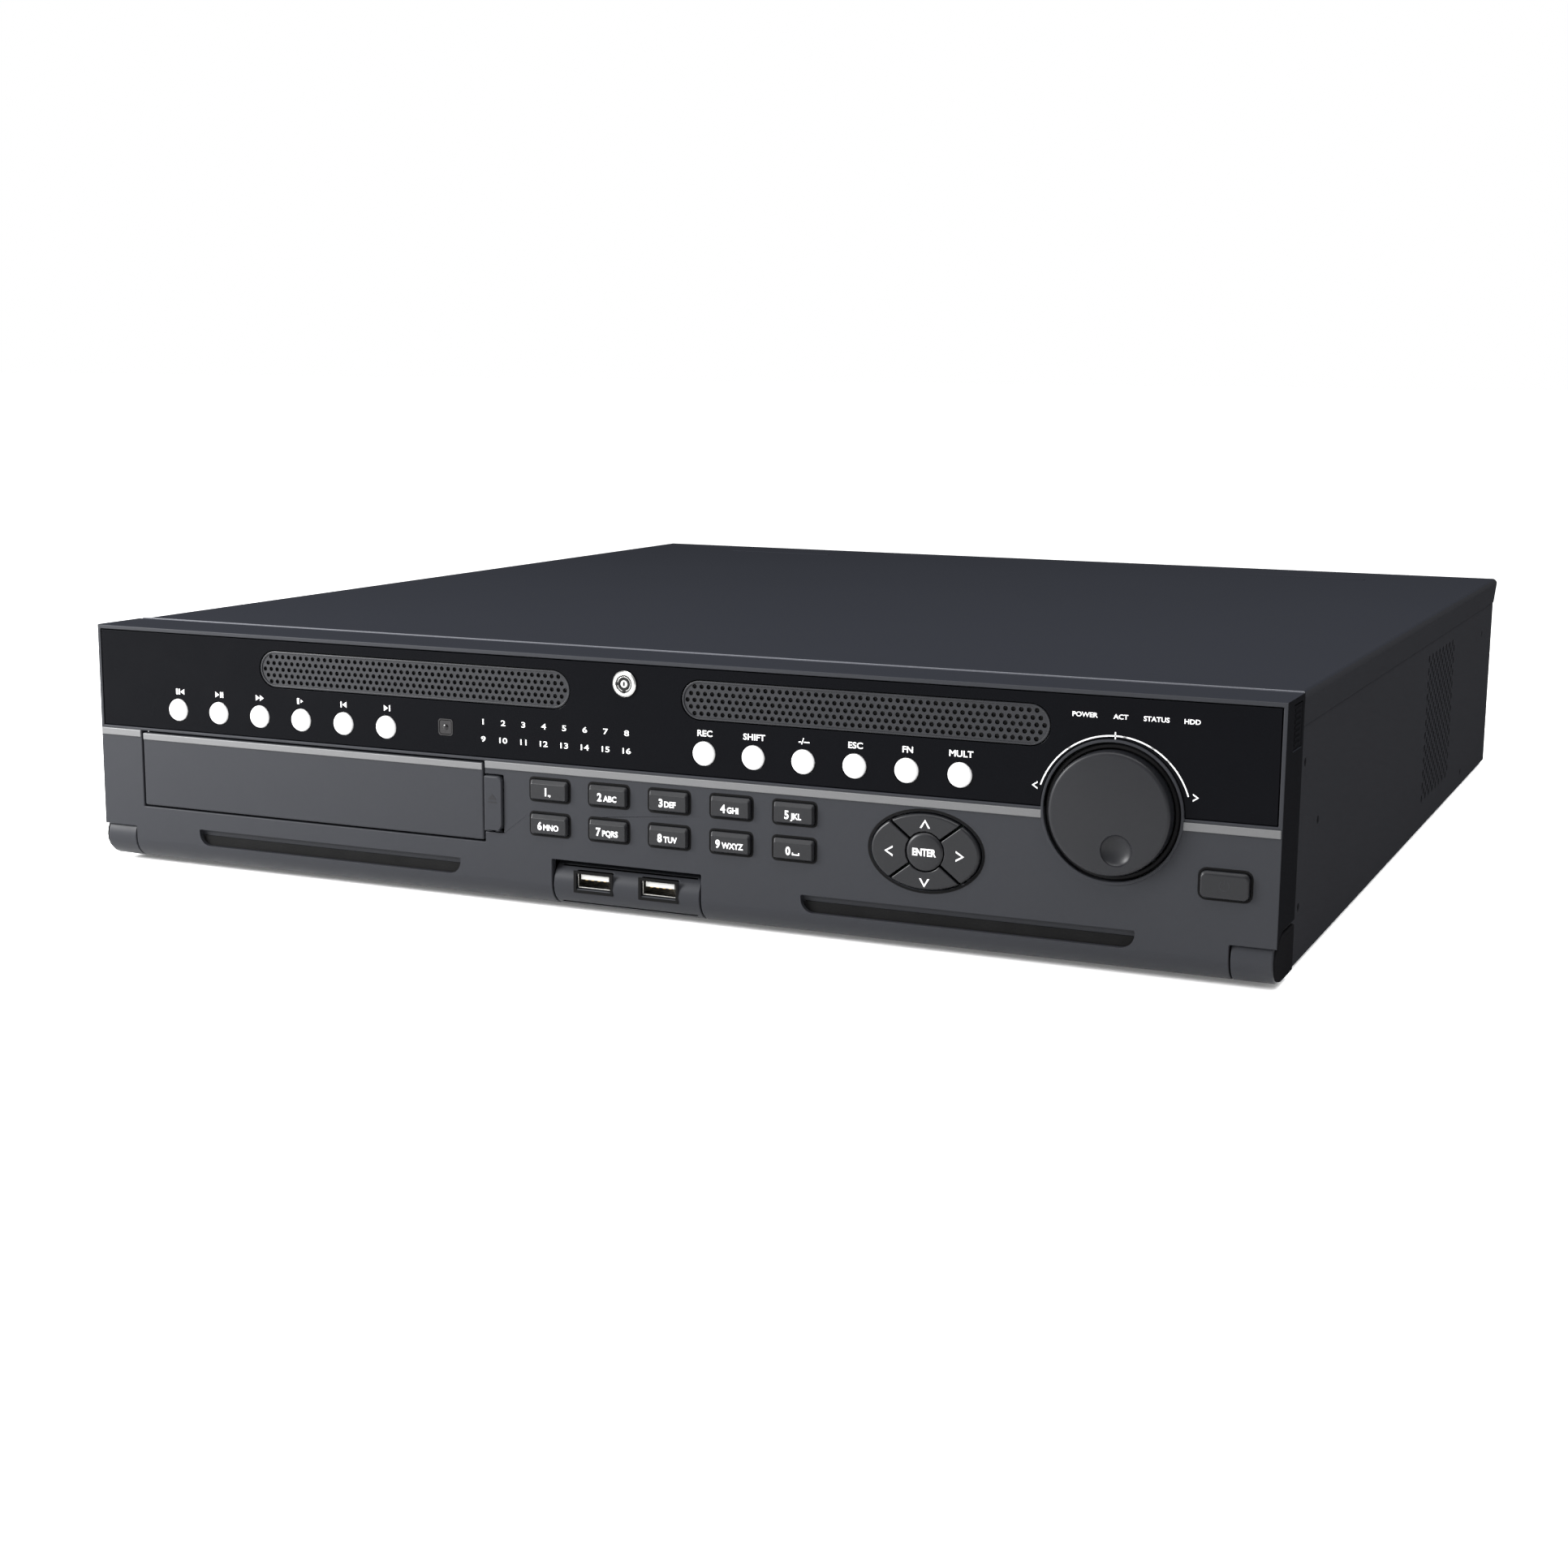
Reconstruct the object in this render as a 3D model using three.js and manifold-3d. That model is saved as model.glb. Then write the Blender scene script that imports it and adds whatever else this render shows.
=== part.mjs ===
// Rack-width digital video recorder with a fold-down front door.
// Millimetres. X to the right, Y to the back, Z up. The floor is z = 0.
import * as THREE from "three";
import { mergeVertices } from "three/addons/utils/BufferGeometryUtils.js";
import Module from "manifold-3d";

const wasm = await Module();
wasm.setup();

// Overall sizes
const WIDTH = 440;
const BODY_HEIGHT = 87;
const FOOT_HEIGHT = 2;
const CASE_DEPTH = 468;
const DOOR_DEPTH = 24;
const DIAL_PROUD = 4;
const JACK_REACH = 12;

// Clearances
const FIT = 0.3;
const KEY_GAP = 0.4;
const DOOR_GAP = 0.8;
const SWING_GAP = 0.5;
const FLAP_GAP = 0.6;

// Sheet metal and mouldings
const BASE_SHEET = 1.2;
const COVER_SHEET = 1;
const LIP_HEIGHT = 11.2;
const BEND_RADIUS = 2.2;
const DOOR_WALL = 3;
const DOOR_SIDE_WALL = 2;
const LEDGE_WALL = 1.1;

// Hinge line along the bottom of the door
const BARREL_RADIUS = 8;
const KNUCKLE_WIDTH = 12.8;
const CAP_THICKNESS = 1.2;
const CAP_INSET = 0.7;

// Front layout, drawn for a door of this width and height and spread with it
const LAYOUT_WIDTH = 440;
const LAYOUT_HEIGHT = 87;
const FASCIA_BOTTOM = 49.7;
const FASCIA_TOP = 85.5;
const FASCIA_MARGIN = 1.4;
const FASCIA_THICKNESS = 1.5;
const LEDGE_WIDTH = 2.2;

// Round function buttons
const ROUND_BUTTON_RADIUS = 4;
const ROUND_BUTTON_PROUD = 1;
const ROUND_ROW = 57.4;
const ROUND_LEFT = [-184.3, -166.2, -148.2, -130.3, -112.3, -94.5];
const ROUND_RIGHT = [29.2, 47, 64.7, 82.6, 100.4, 118.3];

// Number keys
const KEY_WIDTH = 14.4;
const KEY_HEIGHT = 7;
const KEY_PROUD = 1.6;
const KEY_BEVEL = 0.9;
const KEY_COLUMNS = [-28.8, -6.1, 16.6, 39.4, 62.1];
const KEY_ROWS = [40.4, 28.5];

// Direction pad
const PAD_X = 107.6;
const PAD_Z = 32;
const PAD_WIDTH = 37.6;
const PAD_HEIGHT = 25.4;
const ENTER_RADIUS = 6.2;
const PAD_SPLIT_ANGLE = 38;

// Power and eject buttons
const POWER_X = 203.6;
const POWER_Z = 30.6;
const POWER_WIDTH = 15.2;
const POWER_HEIGHT = 8.4;
const EJECT_WIDTH = 7;
const EJECT_HEIGHT = 19.4;
const EJECT_Z = 34;

// What every push button shares
const BUTTON_TRAVEL = 1;
const BUTTON_FLANGE = 1.2;
const FLANGE_THICKNESS = 0.8;
const STEM_RADIUS = 1.8;
const BOARD_DEPTH = 9;
const BOARD_THICKNESS = 1.6;

// Jog dial and shuttle ring
const DIAL_X = 167.7;
const DIAL_Z = 49.8;
const DIAL_RADIUS = 19.3;
const RING_WALL = 1.5;
const RING_WEB_DEPTH = 4.5;
const COLLAR_WALL = 0.9;
const COLLAR_PROUD = 0.4;
const DIMPLE_RADIUS = 5.2;
const DIMPLE_REACH = 11;
const SPINDLE_RADIUS = 3;

// Key lock
const LOCK_Z = 78.7;
const LOCK_FLANGE_RADIUS = 4.4;
const LOCK_BODY_RADIUS = 3.6;
const LOCK_BODY_LENGTH = 14;
const LOCK_PLUG_RADIUS = 2.6;
const KEYWAY_OUTER = 2.2;
const KEYWAY_INNER = 1.4;
const CAM_LENGTH = 11;
const CAM_WIDTH = 4;
const CAM_THICKNESS = 1.5;

// Vent windows in the fascia
const VENT_X = 84.2;
const VENT_LENGTH = 126.8;
const VENT_HEIGHT = 13.5;
const VENT_Z = 75;
const VENT_SLOTS = 9;
const VENT_SLOT_WIDTH = 3;

// Remote-control window
const SENSOR_X = -70;
const SENSOR_Z = 59.2;
const SENSOR_SIDE = 5.6;

// Disc tray and its flap
const FLAP_WIDTH = 145.8;
const FLAP_HEIGHT = 27.2;
const FLAP_X = -128;
const FLAP_Z = 34.4;
const FLAP_THICKNESS = 2.6;
const TRAY_WIDTH = 128.6;
const TRAY_THICKNESS = 6;
const TRAY_RISE = 4;
const TRAY_LENGTH = 180;
const DRIVE_WIDTH = 146;
const DRIVE_HEIGHT = 41.3;
const DRIVE_LENGTH = 172;
const DISC_RADIUS = 60.5;
const DISC_ROOM = 5;
const TRAY_GAP = 1;

// Finger grips pressed into the lower edge of the door
const GRIP_X = 120.5;
const GRIP_WIDTH = 111.8;
const GRIP_TOP = 13.6;
const GRIP_BOTTOM = 7.7;
const GRIP_DEPTH = 3.5;

// Sockets for memory sticks
const USB_X = 12.4;
const USB_Z = 10.2;
const USB_WIDTH = 13;
const USB_HEIGHT = 5.6;
const USB_WALL = 0.4;
const USB_LENGTH = 13;
const USB_MODULE_WIDTH = 55.4;

// Side latches of the door
const LATCH_Z = 78;
const LATCH_HEIGHT = 13.4;
const LATCH_DEPTH = 11.4;
const LATCH_START = 9.6;
const LATCH_TRAVEL = 2.5;
const TONGUE_THICKNESS = 3;
const TONGUE_HEIGHT = 8;

// Behind the front bulkhead
const BULKHEAD_SHEET = 1.2;
const REAR_SHEET = 1;
const MAIN_BOARD_LENGTH = 190;
const JACK_PITCH = 19;
const JACKS_PER_ROW = 8;
const JACK_RADIUS = 4.8;
const SUPPLY_WIDTH = 82;
const SUPPLY_LENGTH = 165;
const SUPPLY_HEIGHT = 45;
const INLET_WIDTH = 27;
const INLET_HEIGHT = 19.5;
const HARD_DRIVE_WIDTH = 101.6;
const HARD_DRIVE_LENGTH = 147;
const HARD_DRIVE_HEIGHT = 26.1;
const FAN_SIDE = 60;
const FAN_DEPTH = 25;
const FAN_BORE = 28;
const FAN_HUB = 14;
const FOOT_RADIUS = 9;

// Places that follow from the sizes
const halfWidth = WIDTH / 2;
const front = DIAL_PROUD - (DIAL_PROUD + CASE_DEPTH + JACK_REACH) / 2;
const back = front + CASE_DEPTH;
const bodyTop = FOOT_HEIGHT + BODY_HEIGHT;
const bulkheadFront = DOOR_DEPTH + DOOR_GAP;
const bulkheadBack = bulkheadFront + BULKHEAD_SHEET;
const wallOuter = halfWidth - COVER_SHEET - FIT;
const wallInner = wallOuter - BASE_SHEET;
const floorTop = FOOT_HEIGHT + BASE_SHEET;
const innerTop = bodyTop - BEND_RADIUS;
const hingeDepth = BARREL_RADIUS;
const hingeZ = FOOT_HEIGHT + BARREL_RADIUS;
const flangeDepth = DOOR_WALL + FIT;
const stemEnd = BOARD_DEPTH - BUTTON_TRAVEL - KEY_GAP;
const barrelTop = hingeZ + BARREL_RADIUS;

// Front layout to part coordinates
const across = (x) => (x * WIDTH) / LAYOUT_WIDTH;
const up = (z) => FOOT_HEIGHT + (z * BODY_HEIGHT) / LAYOUT_HEIGHT;
const deep = (d) => front + d;

// A three.js geometry as a solid.
function solid(geometry) {
  const bare = geometry.clone();
  bare.deleteAttribute("normal");
  bare.deleteAttribute("uv");
  const merged = mergeVertices(bare, 1e-4);
  return new wasm.Manifold(
    new wasm.Mesh({
      numProp: 3,
      vertProperties: merged.attributes.position.array,
      triVerts: new Uint32Array(merged.index.array),
    }),
  );
}

function box(x0, x1, y0, y1, z0, z1) {
  const block = new THREE.BoxGeometry(x1 - x0, y1 - y0, z1 - z0);
  return solid(block.translate((x0 + x1) / 2, (y0 + y1) / 2, (z0 + z1) / 2));
}

// A shape drawn in X and Z, from one depth behind the door face to another.
function plate(shape, d0, d1, curveSegments = 8) {
  const sheet = new THREE.ExtrudeGeometry(shape, {
    depth: d1 - d0,
    bevelEnabled: false,
    curveSegments,
  });
  return solid(sheet.rotateX(Math.PI / 2).translate(0, deep(d1), 0));
}

// A cap with a chamfered rim, drawn in X and Z.
function pillow(shape, d0, d1, bevel, curveSegments = 8) {
  const cap = new THREE.ExtrudeGeometry(shape, {
    depth: d1 - d0 - 2 * bevel,
    bevelEnabled: true,
    bevelThickness: bevel,
    bevelSize: bevel,
    bevelOffset: -bevel,
    bevelSegments: 1,
    curveSegments,
  });
  return solid(cap.rotateX(Math.PI / 2).translate(0, deep(d1 - bevel), 0));
}

// A profile drawn in depth and Z, along X.
function bar(points, x0, x1) {
  const shape = new THREE.Shape(points.map(([d, z]) => new THREE.Vector2(deep(d), z)));
  const rod = new THREE.ExtrudeGeometry(shape, { depth: x1 - x0, bevelEnabled: false });
  const turn = new THREE.Matrix4().makeBasis(
    new THREE.Vector3(0, 1, 0),
    new THREE.Vector3(0, 0, 1),
    new THREE.Vector3(1, 0, 0),
  );
  return solid(rod.applyMatrix4(turn).translate(x0, 0, 0));
}

// A round bar along Y.
function rod(x, z, radius, d0, d1, sides = 16) {
  const turned = new THREE.CylinderGeometry(radius, radius, d1 - d0, sides);
  return solid(turned.translate(x, deep((d0 + d1) / 2), z));
}

function ring(x, z, outer, inner, d0, d1, sides) {
  return rod(x, z, outer, d0, d1, sides).subtract(
    rod(x, z, inner, d0 - 1, d1 + 1, sides),
  );
}

// A round bar along X about the hinge line.
function hingeRod(radius, x0, x1, sides = 24) {
  const turned = new THREE.CylinderGeometry(radius, radius, x1 - x0, sides);
  turned.rotateZ(Math.PI / 2);
  return solid(turned.translate((x0 + x1) / 2, deep(hingeDepth), hingeZ));
}

function circle(x, z, radius) {
  return new THREE.Shape().absarc(x, z, radius, 0, 2 * Math.PI);
}

function roundRect(x, z, width, height, radius) {
  const shape = new THREE.Shape();
  const w = width / 2 - radius;
  const h = height / 2 - radius;
  const quarter = Math.PI / 2;
  shape.absarc(x + w, z + h, radius, 0, quarter);
  shape.absarc(x - w, z + h, radius, quarter, 2 * quarter);
  shape.absarc(x - w, z - h, radius, 2 * quarter, 3 * quarter);
  shape.absarc(x + w, z - h, radius, 3 * quarter, 4 * quarter);
  return shape;
}

function oval(x, z, width, height) {
  return new THREE.Shape().absellipse(x, z, width / 2, height / 2, 0, 2 * Math.PI);
}

// The rounded front of the barrel, from its crown round to the underside.
function barrelArc(radius, fromAngle, toAngle, steps) {
  return Array.from({ length: steps + 1 }, (_, i) => {
    const angle = fromAngle + ((toAngle - fromAngle) * i) / steps;
    return [
      hingeDepth + radius * Math.cos(angle),
      hingeZ + radius * Math.sin(angle),
    ];
  });
}

const recorder = new THREE.Group();

function add(name, made, color, roughness, metalness) {
  const data = made.getMesh();
  const geometry = new THREE.BufferGeometry();
  geometry.setAttribute(
    "position",
    new THREE.BufferAttribute(new Float32Array(data.vertProperties), 3),
  );
  geometry.setIndex(new THREE.BufferAttribute(new Uint32Array(data.triVerts), 1));
  geometry.computeVertexNormals();
  const material = new THREE.MeshStandardMaterial({ color, roughness, metalness });
  const mesh = new THREE.Mesh(geometry, material);
  mesh.name = name;
  recorder.add(mesh);
}

// Colours
const SHEET_BLACK = 0x2c2e33;
const PANEL_GREY = 0x4a4c52;
const GLOSS_BLACK = 0x0c0e12;
const KEY_CHARCOAL = 0x3a3c42;
const WHITE = 0xf2f2f2;
const STEEL = 0x9a9ea4;
const BOARD_GREEN = 0x1f5c3a;
const RUBBER_BLACK = 0x151515;

// ---------------------------------------------------------------- base tray
const floor = box(
  -wallOuter,
  wallOuter,
  deep(bulkheadFront),
  back - REAR_SHEET - FIT,
  FOOT_HEIGHT,
  floorTop,
);
const sideWall = (x0, x1) =>
  box(x0, x1, deep(bulkheadFront), back - REAR_SHEET - FIT, FOOT_HEIGHT, innerTop);
add(
  "base_tray",
  floor.add(sideWall(-wallOuter, -wallInner)).add(sideWall(wallInner, wallOuter)),
  SHEET_BLACK,
  0.6,
  0.3,
);

// ---------------------------------------------------------------- feet
const footX = across(185);
const footFront = deep(45);
const footRear = back - 40;
for (const [name, x, y] of [
  ["foot_front_left", -footX, footFront],
  ["foot_front_right", footX, footFront],
  ["foot_rear_left", -footX, footRear],
  ["foot_rear_right", footX, footRear],
]) {
  const pad = new THREE.CylinderGeometry(FOOT_RADIUS, FOOT_RADIUS - 1, FOOT_HEIGHT - FIT, 20);
  pad.rotateX(Math.PI / 2);
  pad.translate(x, y, (FOOT_HEIGHT - FIT) / 2);
  add(name, solid(pad), RUBBER_BLACK, 0.9, 0);
}

// ---------------------------------------------------------------- front bulkhead
const flapX = across(FLAP_X);
const flapZ = up(FLAP_Z);
const trayTop = flapZ + TRAY_RISE + TRAY_THICKNESS / 2;
const trayBottom = trayTop - TRAY_THICKNESS;
const mouthHalf = TRAY_WIDTH / 2 + TRAY_GAP;
const mouthBottom = trayBottom - TRAY_GAP;
const mouthTop = trayTop + DISC_ROOM;
const lockZ = up(LOCK_Z);
const latchZ = up(LATCH_Z);
const tongueOuter = wallInner - 3 * FIT;
const tongueInner = tongueOuter - TONGUE_THICKNESS;
const tongueEnd = bulkheadBack + 1.5;
const exitRise = 1.8;

let bulkhead = box(
  -wallInner + FIT,
  wallInner - FIT,
  deep(bulkheadFront),
  deep(bulkheadBack),
  floorTop + FIT,
  innerTop - FIT,
);
bulkhead = bulkhead.subtract(
  box(
    flapX - mouthHalf - FIT,
    flapX + mouthHalf + FIT,
    deep(bulkheadFront - 1),
    deep(bulkheadBack + 1),
    mouthBottom - FIT,
    mouthTop + FIT,
  ),
);
bulkhead = bulkhead.subtract(
  box(
    -STEM_RADIUS - 1,
    CAM_LENGTH + 1.5,
    deep(bulkheadFront - 1),
    deep(bulkheadBack + 1),
    lockZ - CAM_WIDTH / 2 - SWING_GAP,
    lockZ + CAM_WIDTH / 2 + exitRise,
  ),
);
for (const side of [-1, 1]) {
  const a = side * (tongueInner - LATCH_TRAVEL - 1);
  const b = side * wallOuter;
  bulkhead = bulkhead.subtract(
    box(
      Math.min(a, b),
      Math.max(a, b),
      deep(bulkheadFront - 1),
      deep(bulkheadBack + 1),
      latchZ - TONGUE_HEIGHT / 2 - SWING_GAP,
      latchZ + TONGUE_HEIGHT / 2 + exitRise,
    ),
  );
}
add("front_bulkhead", bulkhead, SHEET_BLACK, 0.6, 0.3);

// ---------------------------------------------------------------- top cover
const coverStart = deep(bulkheadFront);
const lipBottom = bodyTop - LIP_HEIGHT;
const coverShape = new THREE.Shape();
coverShape.moveTo(halfWidth, lipBottom);
coverShape.absarc(halfWidth - BEND_RADIUS, bodyTop - BEND_RADIUS, BEND_RADIUS, 0, Math.PI / 2);
coverShape.absarc(
  BEND_RADIUS - halfWidth,
  bodyTop - BEND_RADIUS,
  BEND_RADIUS,
  Math.PI / 2,
  Math.PI,
);
coverShape.lineTo(-halfWidth, lipBottom);
coverShape.lineTo(COVER_SHEET - halfWidth, lipBottom);
const innerBend = BEND_RADIUS - COVER_SHEET;
coverShape.absarc(
  BEND_RADIUS - halfWidth,
  bodyTop - BEND_RADIUS,
  innerBend,
  Math.PI,
  Math.PI / 2,
  true,
);
coverShape.absarc(
  halfWidth - BEND_RADIUS,
  bodyTop - BEND_RADIUS,
  innerBend,
  Math.PI / 2,
  0,
  true,
);
coverShape.lineTo(halfWidth - COVER_SHEET, lipBottom);
add("top_cover", plate(coverShape, bulkheadFront, CASE_DEPTH, 4), SHEET_BLACK, 0.55, 0.3);

// ---------------------------------------------------------------- rear panel
const jackX = across(-130);
const jackRows = [up(22), up(22) + JACK_PITCH];
const jackBlockHalf = (JACKS_PER_ROW * JACK_PITCH) / 2 + 2;
const jackBlockBottom = jackRows[0] - JACK_PITCH / 2 - 1;
const jackBlockTop = jackRows[1] + JACK_PITCH / 2 + 1;
const portBlock = [across(-42), across(56), jackBlockBottom, up(34)];
const fanX = across(93);
const fanZ = up(44);
const supplyX = across(171);
const supplyBottom = floorTop + 1.5;
const inletX = supplyX + 6;
const inletZ = supplyBottom + 20;
const rearInside = CASE_DEPTH - REAR_SHEET;

let rearPanel = box(
  -wallOuter,
  wallOuter,
  back - REAR_SHEET,
  back,
  FOOT_HEIGHT,
  innerTop,
);
for (const [x0, x1, z0, z1] of [
  [jackX - jackBlockHalf - FIT, jackX + jackBlockHalf + FIT, jackBlockBottom - FIT, jackBlockTop + FIT],
  [portBlock[0] - FIT, portBlock[1] + FIT, portBlock[2] - FIT, portBlock[3] + FIT],
  [
    inletX - INLET_WIDTH / 2 - FIT,
    inletX + INLET_WIDTH / 2 + FIT,
    inletZ - INLET_HEIGHT / 2 - FIT,
    inletZ + INLET_HEIGHT / 2 + FIT,
  ],
]) {
  rearPanel = rearPanel.subtract(box(x0, x1, back - 5, back + 5, z0, z1));
}
rearPanel = rearPanel.subtract(
  rod(fanX, fanZ, FAN_BORE - 1, rearInside - 5, CASE_DEPTH + 5, 24),
);
add("rear_panel", rearPanel, SHEET_BLACK, 0.6, 0.3);

// ---------------------------------------------------------------- main board
const boardBottom = floorTop + 6;
const boardTop = boardBottom + BOARD_THICKNESS;
let mainBoard = box(
  -wallInner + 3,
  across(62),
  back - MAIN_BOARD_LENGTH,
  back - REAR_SHEET - 1,
  boardBottom,
  boardTop,
);
mainBoard = mainBoard.add(
  box(
    jackX - jackBlockHalf,
    jackX + jackBlockHalf,
    back - 24,
    back + 0.5,
    boardTop - 0.5,
    jackBlockTop,
  ).subtract(
    box(
      jackX - jackBlockHalf - 1,
      jackX + jackBlockHalf + 1,
      back - REAR_SHEET - 1,
      back + 1,
      boardTop - 1,
      jackBlockBottom,
    ),
  ),
);
mainBoard = mainBoard.add(
  box(portBlock[0], portBlock[1], back - 22, back + 0.5, boardTop - 0.5, portBlock[3]).subtract(
    box(
      portBlock[0] - 1,
      portBlock[1] + 1,
      back - REAR_SHEET - 1,
      back + 1,
      boardTop - 1,
      portBlock[2],
    ),
  ),
);
for (const z of jackRows) {
  for (let i = 0; i < JACKS_PER_ROW; i += 1) {
    const x = jackX + (i - (JACKS_PER_ROW - 1) / 2) * JACK_PITCH;
    mainBoard = mainBoard.add(rod(x, z, JACK_RADIUS, CASE_DEPTH, CASE_DEPTH + JACK_REACH, 10));
  }
}
const networkX = across(-30);
const networkZ = portBlock[2] + 7;
mainBoard = mainBoard.subtract(
  box(networkX - 6, networkX + 6, back - 12, back + 1, networkZ - 4.5, networkZ + 4.5),
);
add("main_board", mainBoard, BOARD_GREEN, 0.7, 0.1);

// ---------------------------------------------------------------- power supply
const supplyTop = supplyBottom + SUPPLY_HEIGHT;
let supply = box(
  supplyX - SUPPLY_WIDTH / 2,
  supplyX + SUPPLY_WIDTH / 2,
  back - SUPPLY_LENGTH - 2,
  back - REAR_SHEET - 1,
  supplyBottom,
  supplyTop,
);
supply = supply.add(
  box(
    inletX - INLET_WIDTH / 2,
    inletX + INLET_WIDTH / 2,
    back - 30,
    back + 1.5,
    inletZ - INLET_HEIGHT / 2,
    inletZ + INLET_HEIGHT / 2,
  ),
);
supply = supply.subtract(
  box(inletX - 12, inletX + 12, back - 14, back + 3, inletZ - 8, inletZ + 8),
);
for (const [dx, dz] of [
  [-7, -2],
  [0, 2],
  [7, -2],
]) {
  supply = supply.add(
    box(inletX + dx - 1, inletX + dx + 1, back - 15, back - 3, inletZ + dz - 2, inletZ + dz + 2),
  );
}
add("power_supply", supply, STEEL, 0.45, 0.8);

// ---------------------------------------------------------------- rear fan
let fanFrame = box(
  fanX - FAN_SIDE / 2,
  fanX + FAN_SIDE / 2,
  back - REAR_SHEET - FIT - FAN_DEPTH,
  back - REAR_SHEET - FIT,
  fanZ - FAN_SIDE / 2,
  fanZ + FAN_SIDE / 2,
);
const fanStart = rearInside - FIT - FAN_DEPTH;
fanFrame = fanFrame.subtract(rod(fanX, fanZ, FAN_BORE, fanStart - 1, rearInside + 1, 24));
for (const angle of [0, 1, 2, 3]) {
  const strut = new THREE.BoxGeometry(FAN_BORE + 1, 3, 3);
  strut.translate((FAN_BORE + 1) / 2, 0, 0);
  strut.rotateY((angle * Math.PI) / 2 + Math.PI / 4);
  strut.translate(fanX, deep(fanStart + 1.5), fanZ);
  fanFrame = fanFrame.add(solid(strut));
}
fanFrame = fanFrame.add(rod(fanX, fanZ, FAN_HUB, fanStart, fanStart + 3, 16));
add("fan_frame", fanFrame, RUBBER_BLACK, 0.5, 0);

const rotorStart = fanStart + 4;
const rotorEnd = rearInside - FIT - 2;
let rotor = rod(fanX, fanZ, FAN_HUB - 1, rotorStart, rotorEnd, 16);
const blades = 7;
for (let i = 0; i < blades; i += 1) {
  const blade = new THREE.BoxGeometry(FAN_BORE - FAN_HUB, 1.4, 15);
  blade.rotateX(0.7);
  blade.translate((FAN_BORE + FAN_HUB) / 2 - 2, 0, 0);
  blade.rotateY((i * 2 * Math.PI) / blades);
  blade.translate(fanX, deep((rotorStart + rotorEnd) / 2), fanZ);
  rotor = rotor.add(solid(blade));
}
add("fan_rotor", rotor, RUBBER_BLACK, 0.45, 0);

// ---------------------------------------------------------------- hard drive
const hardDriveX = across(108);
const hardDriveStart = bulkheadBack + 34;
add(
  "hard_drive",
  box(
    hardDriveX - HARD_DRIVE_WIDTH / 2,
    hardDriveX + HARD_DRIVE_WIDTH / 2,
    deep(hardDriveStart),
    deep(hardDriveStart + HARD_DRIVE_LENGTH),
    floorTop + 10,
    floorTop + 10 + HARD_DRIVE_HEIGHT,
  ),
  STEEL,
  0.4,
  0.8,
);

// ---------------------------------------------------------------- optical drive
const driveStart = bulkheadBack + 1;
const driveBottom = flapZ - DRIVE_HEIGHT / 2;
const trayLeft = flapX - TRAY_WIDTH / 2;
const trayRight = flapX + TRAY_WIDTH / 2;
const trayStart = FLAP_THICKNESS + FIT;
const trayEnd = trayStart + TRAY_LENGTH;
let opticalDrive = box(
  flapX - DRIVE_WIDTH / 2,
  flapX + DRIVE_WIDTH / 2,
  deep(driveStart),
  deep(driveStart + DRIVE_LENGTH),
  driveBottom,
  driveBottom + DRIVE_HEIGHT,
);
opticalDrive = opticalDrive.subtract(
  box(
    flapX - mouthHalf,
    flapX + mouthHalf,
    deep(driveStart - 1),
    deep(trayEnd + 2),
    mouthBottom,
    mouthTop,
  ),
);
add("optical_drive", opticalDrive, STEEL, 0.45, 0.8);

// ---------------------------------------------------------------- disc tray
const discDepth = trayStart + DISC_RADIUS + 5;
const tray = box(
  trayLeft,
  trayRight,
  deep(trayStart),
  deep(trayEnd),
  trayBottom,
  trayTop,
);
const dish = new THREE.CylinderGeometry(DISC_RADIUS, DISC_RADIUS, 6, 32);
dish.rotateX(Math.PI / 2);
dish.translate(flapX, deep(discDepth), trayTop + 1);
const hubHole = new THREE.CylinderGeometry(18, 18, 40, 16);
hubHole.rotateX(Math.PI / 2);
hubHole.translate(flapX, deep(discDepth), trayTop);
add(
  "disc_tray",
  tray.subtract(solid(dish)).subtract(solid(hubHole)),
  KEY_CHARCOAL,
  0.5,
  0,
);
add(
  "disc_flap",
  pillow(roundRect(flapX, flapZ, FLAP_WIDTH, FLAP_HEIGHT, 0.6), 0, FLAP_THICKNESS, 0.4, 1),
  PANEL_GREY,
  0.5,
  0,
);

// ---------------------------------------------------------------- hinge knuckles
const knuckleInner = halfWidth - KNUCKLE_WIDTH - CAP_THICKNESS;
const quarterTurn = Math.PI / 2;
const barrelProfile = [
  ...barrelArc(BARREL_RADIUS, quarterTurn, 3 * quarterTurn, 10),
  [DOOR_DEPTH, FOOT_HEIGHT],
  [DOOR_DEPTH, barrelTop],
];
const capProfile = [
  ...barrelArc(BARREL_RADIUS - CAP_INSET, quarterTurn, 3 * quarterTurn, 10),
  [DOOR_DEPTH, FOOT_HEIGHT + CAP_INSET],
  [DOOR_DEPTH, barrelTop - CAP_INSET],
];
for (const [name, side] of [
  ["hinge_knuckle_left", -1],
  ["hinge_knuckle_right", 1],
]) {
  const span = (a, b) => [Math.min(side * a, side * b), Math.max(side * a, side * b)];
  const body = bar(barrelProfile, ...span(knuckleInner, halfWidth - CAP_THICKNESS));
  const cap = bar(capProfile, ...span(halfWidth - CAP_THICKNESS - 0.5, halfWidth));
  const pin = hingeRod(2, ...span(knuckleInner - 5, knuckleInner + 1), 12);
  add(name, body.add(cap).add(pin), PANEL_GREY, 0.5, 0);
}

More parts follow.
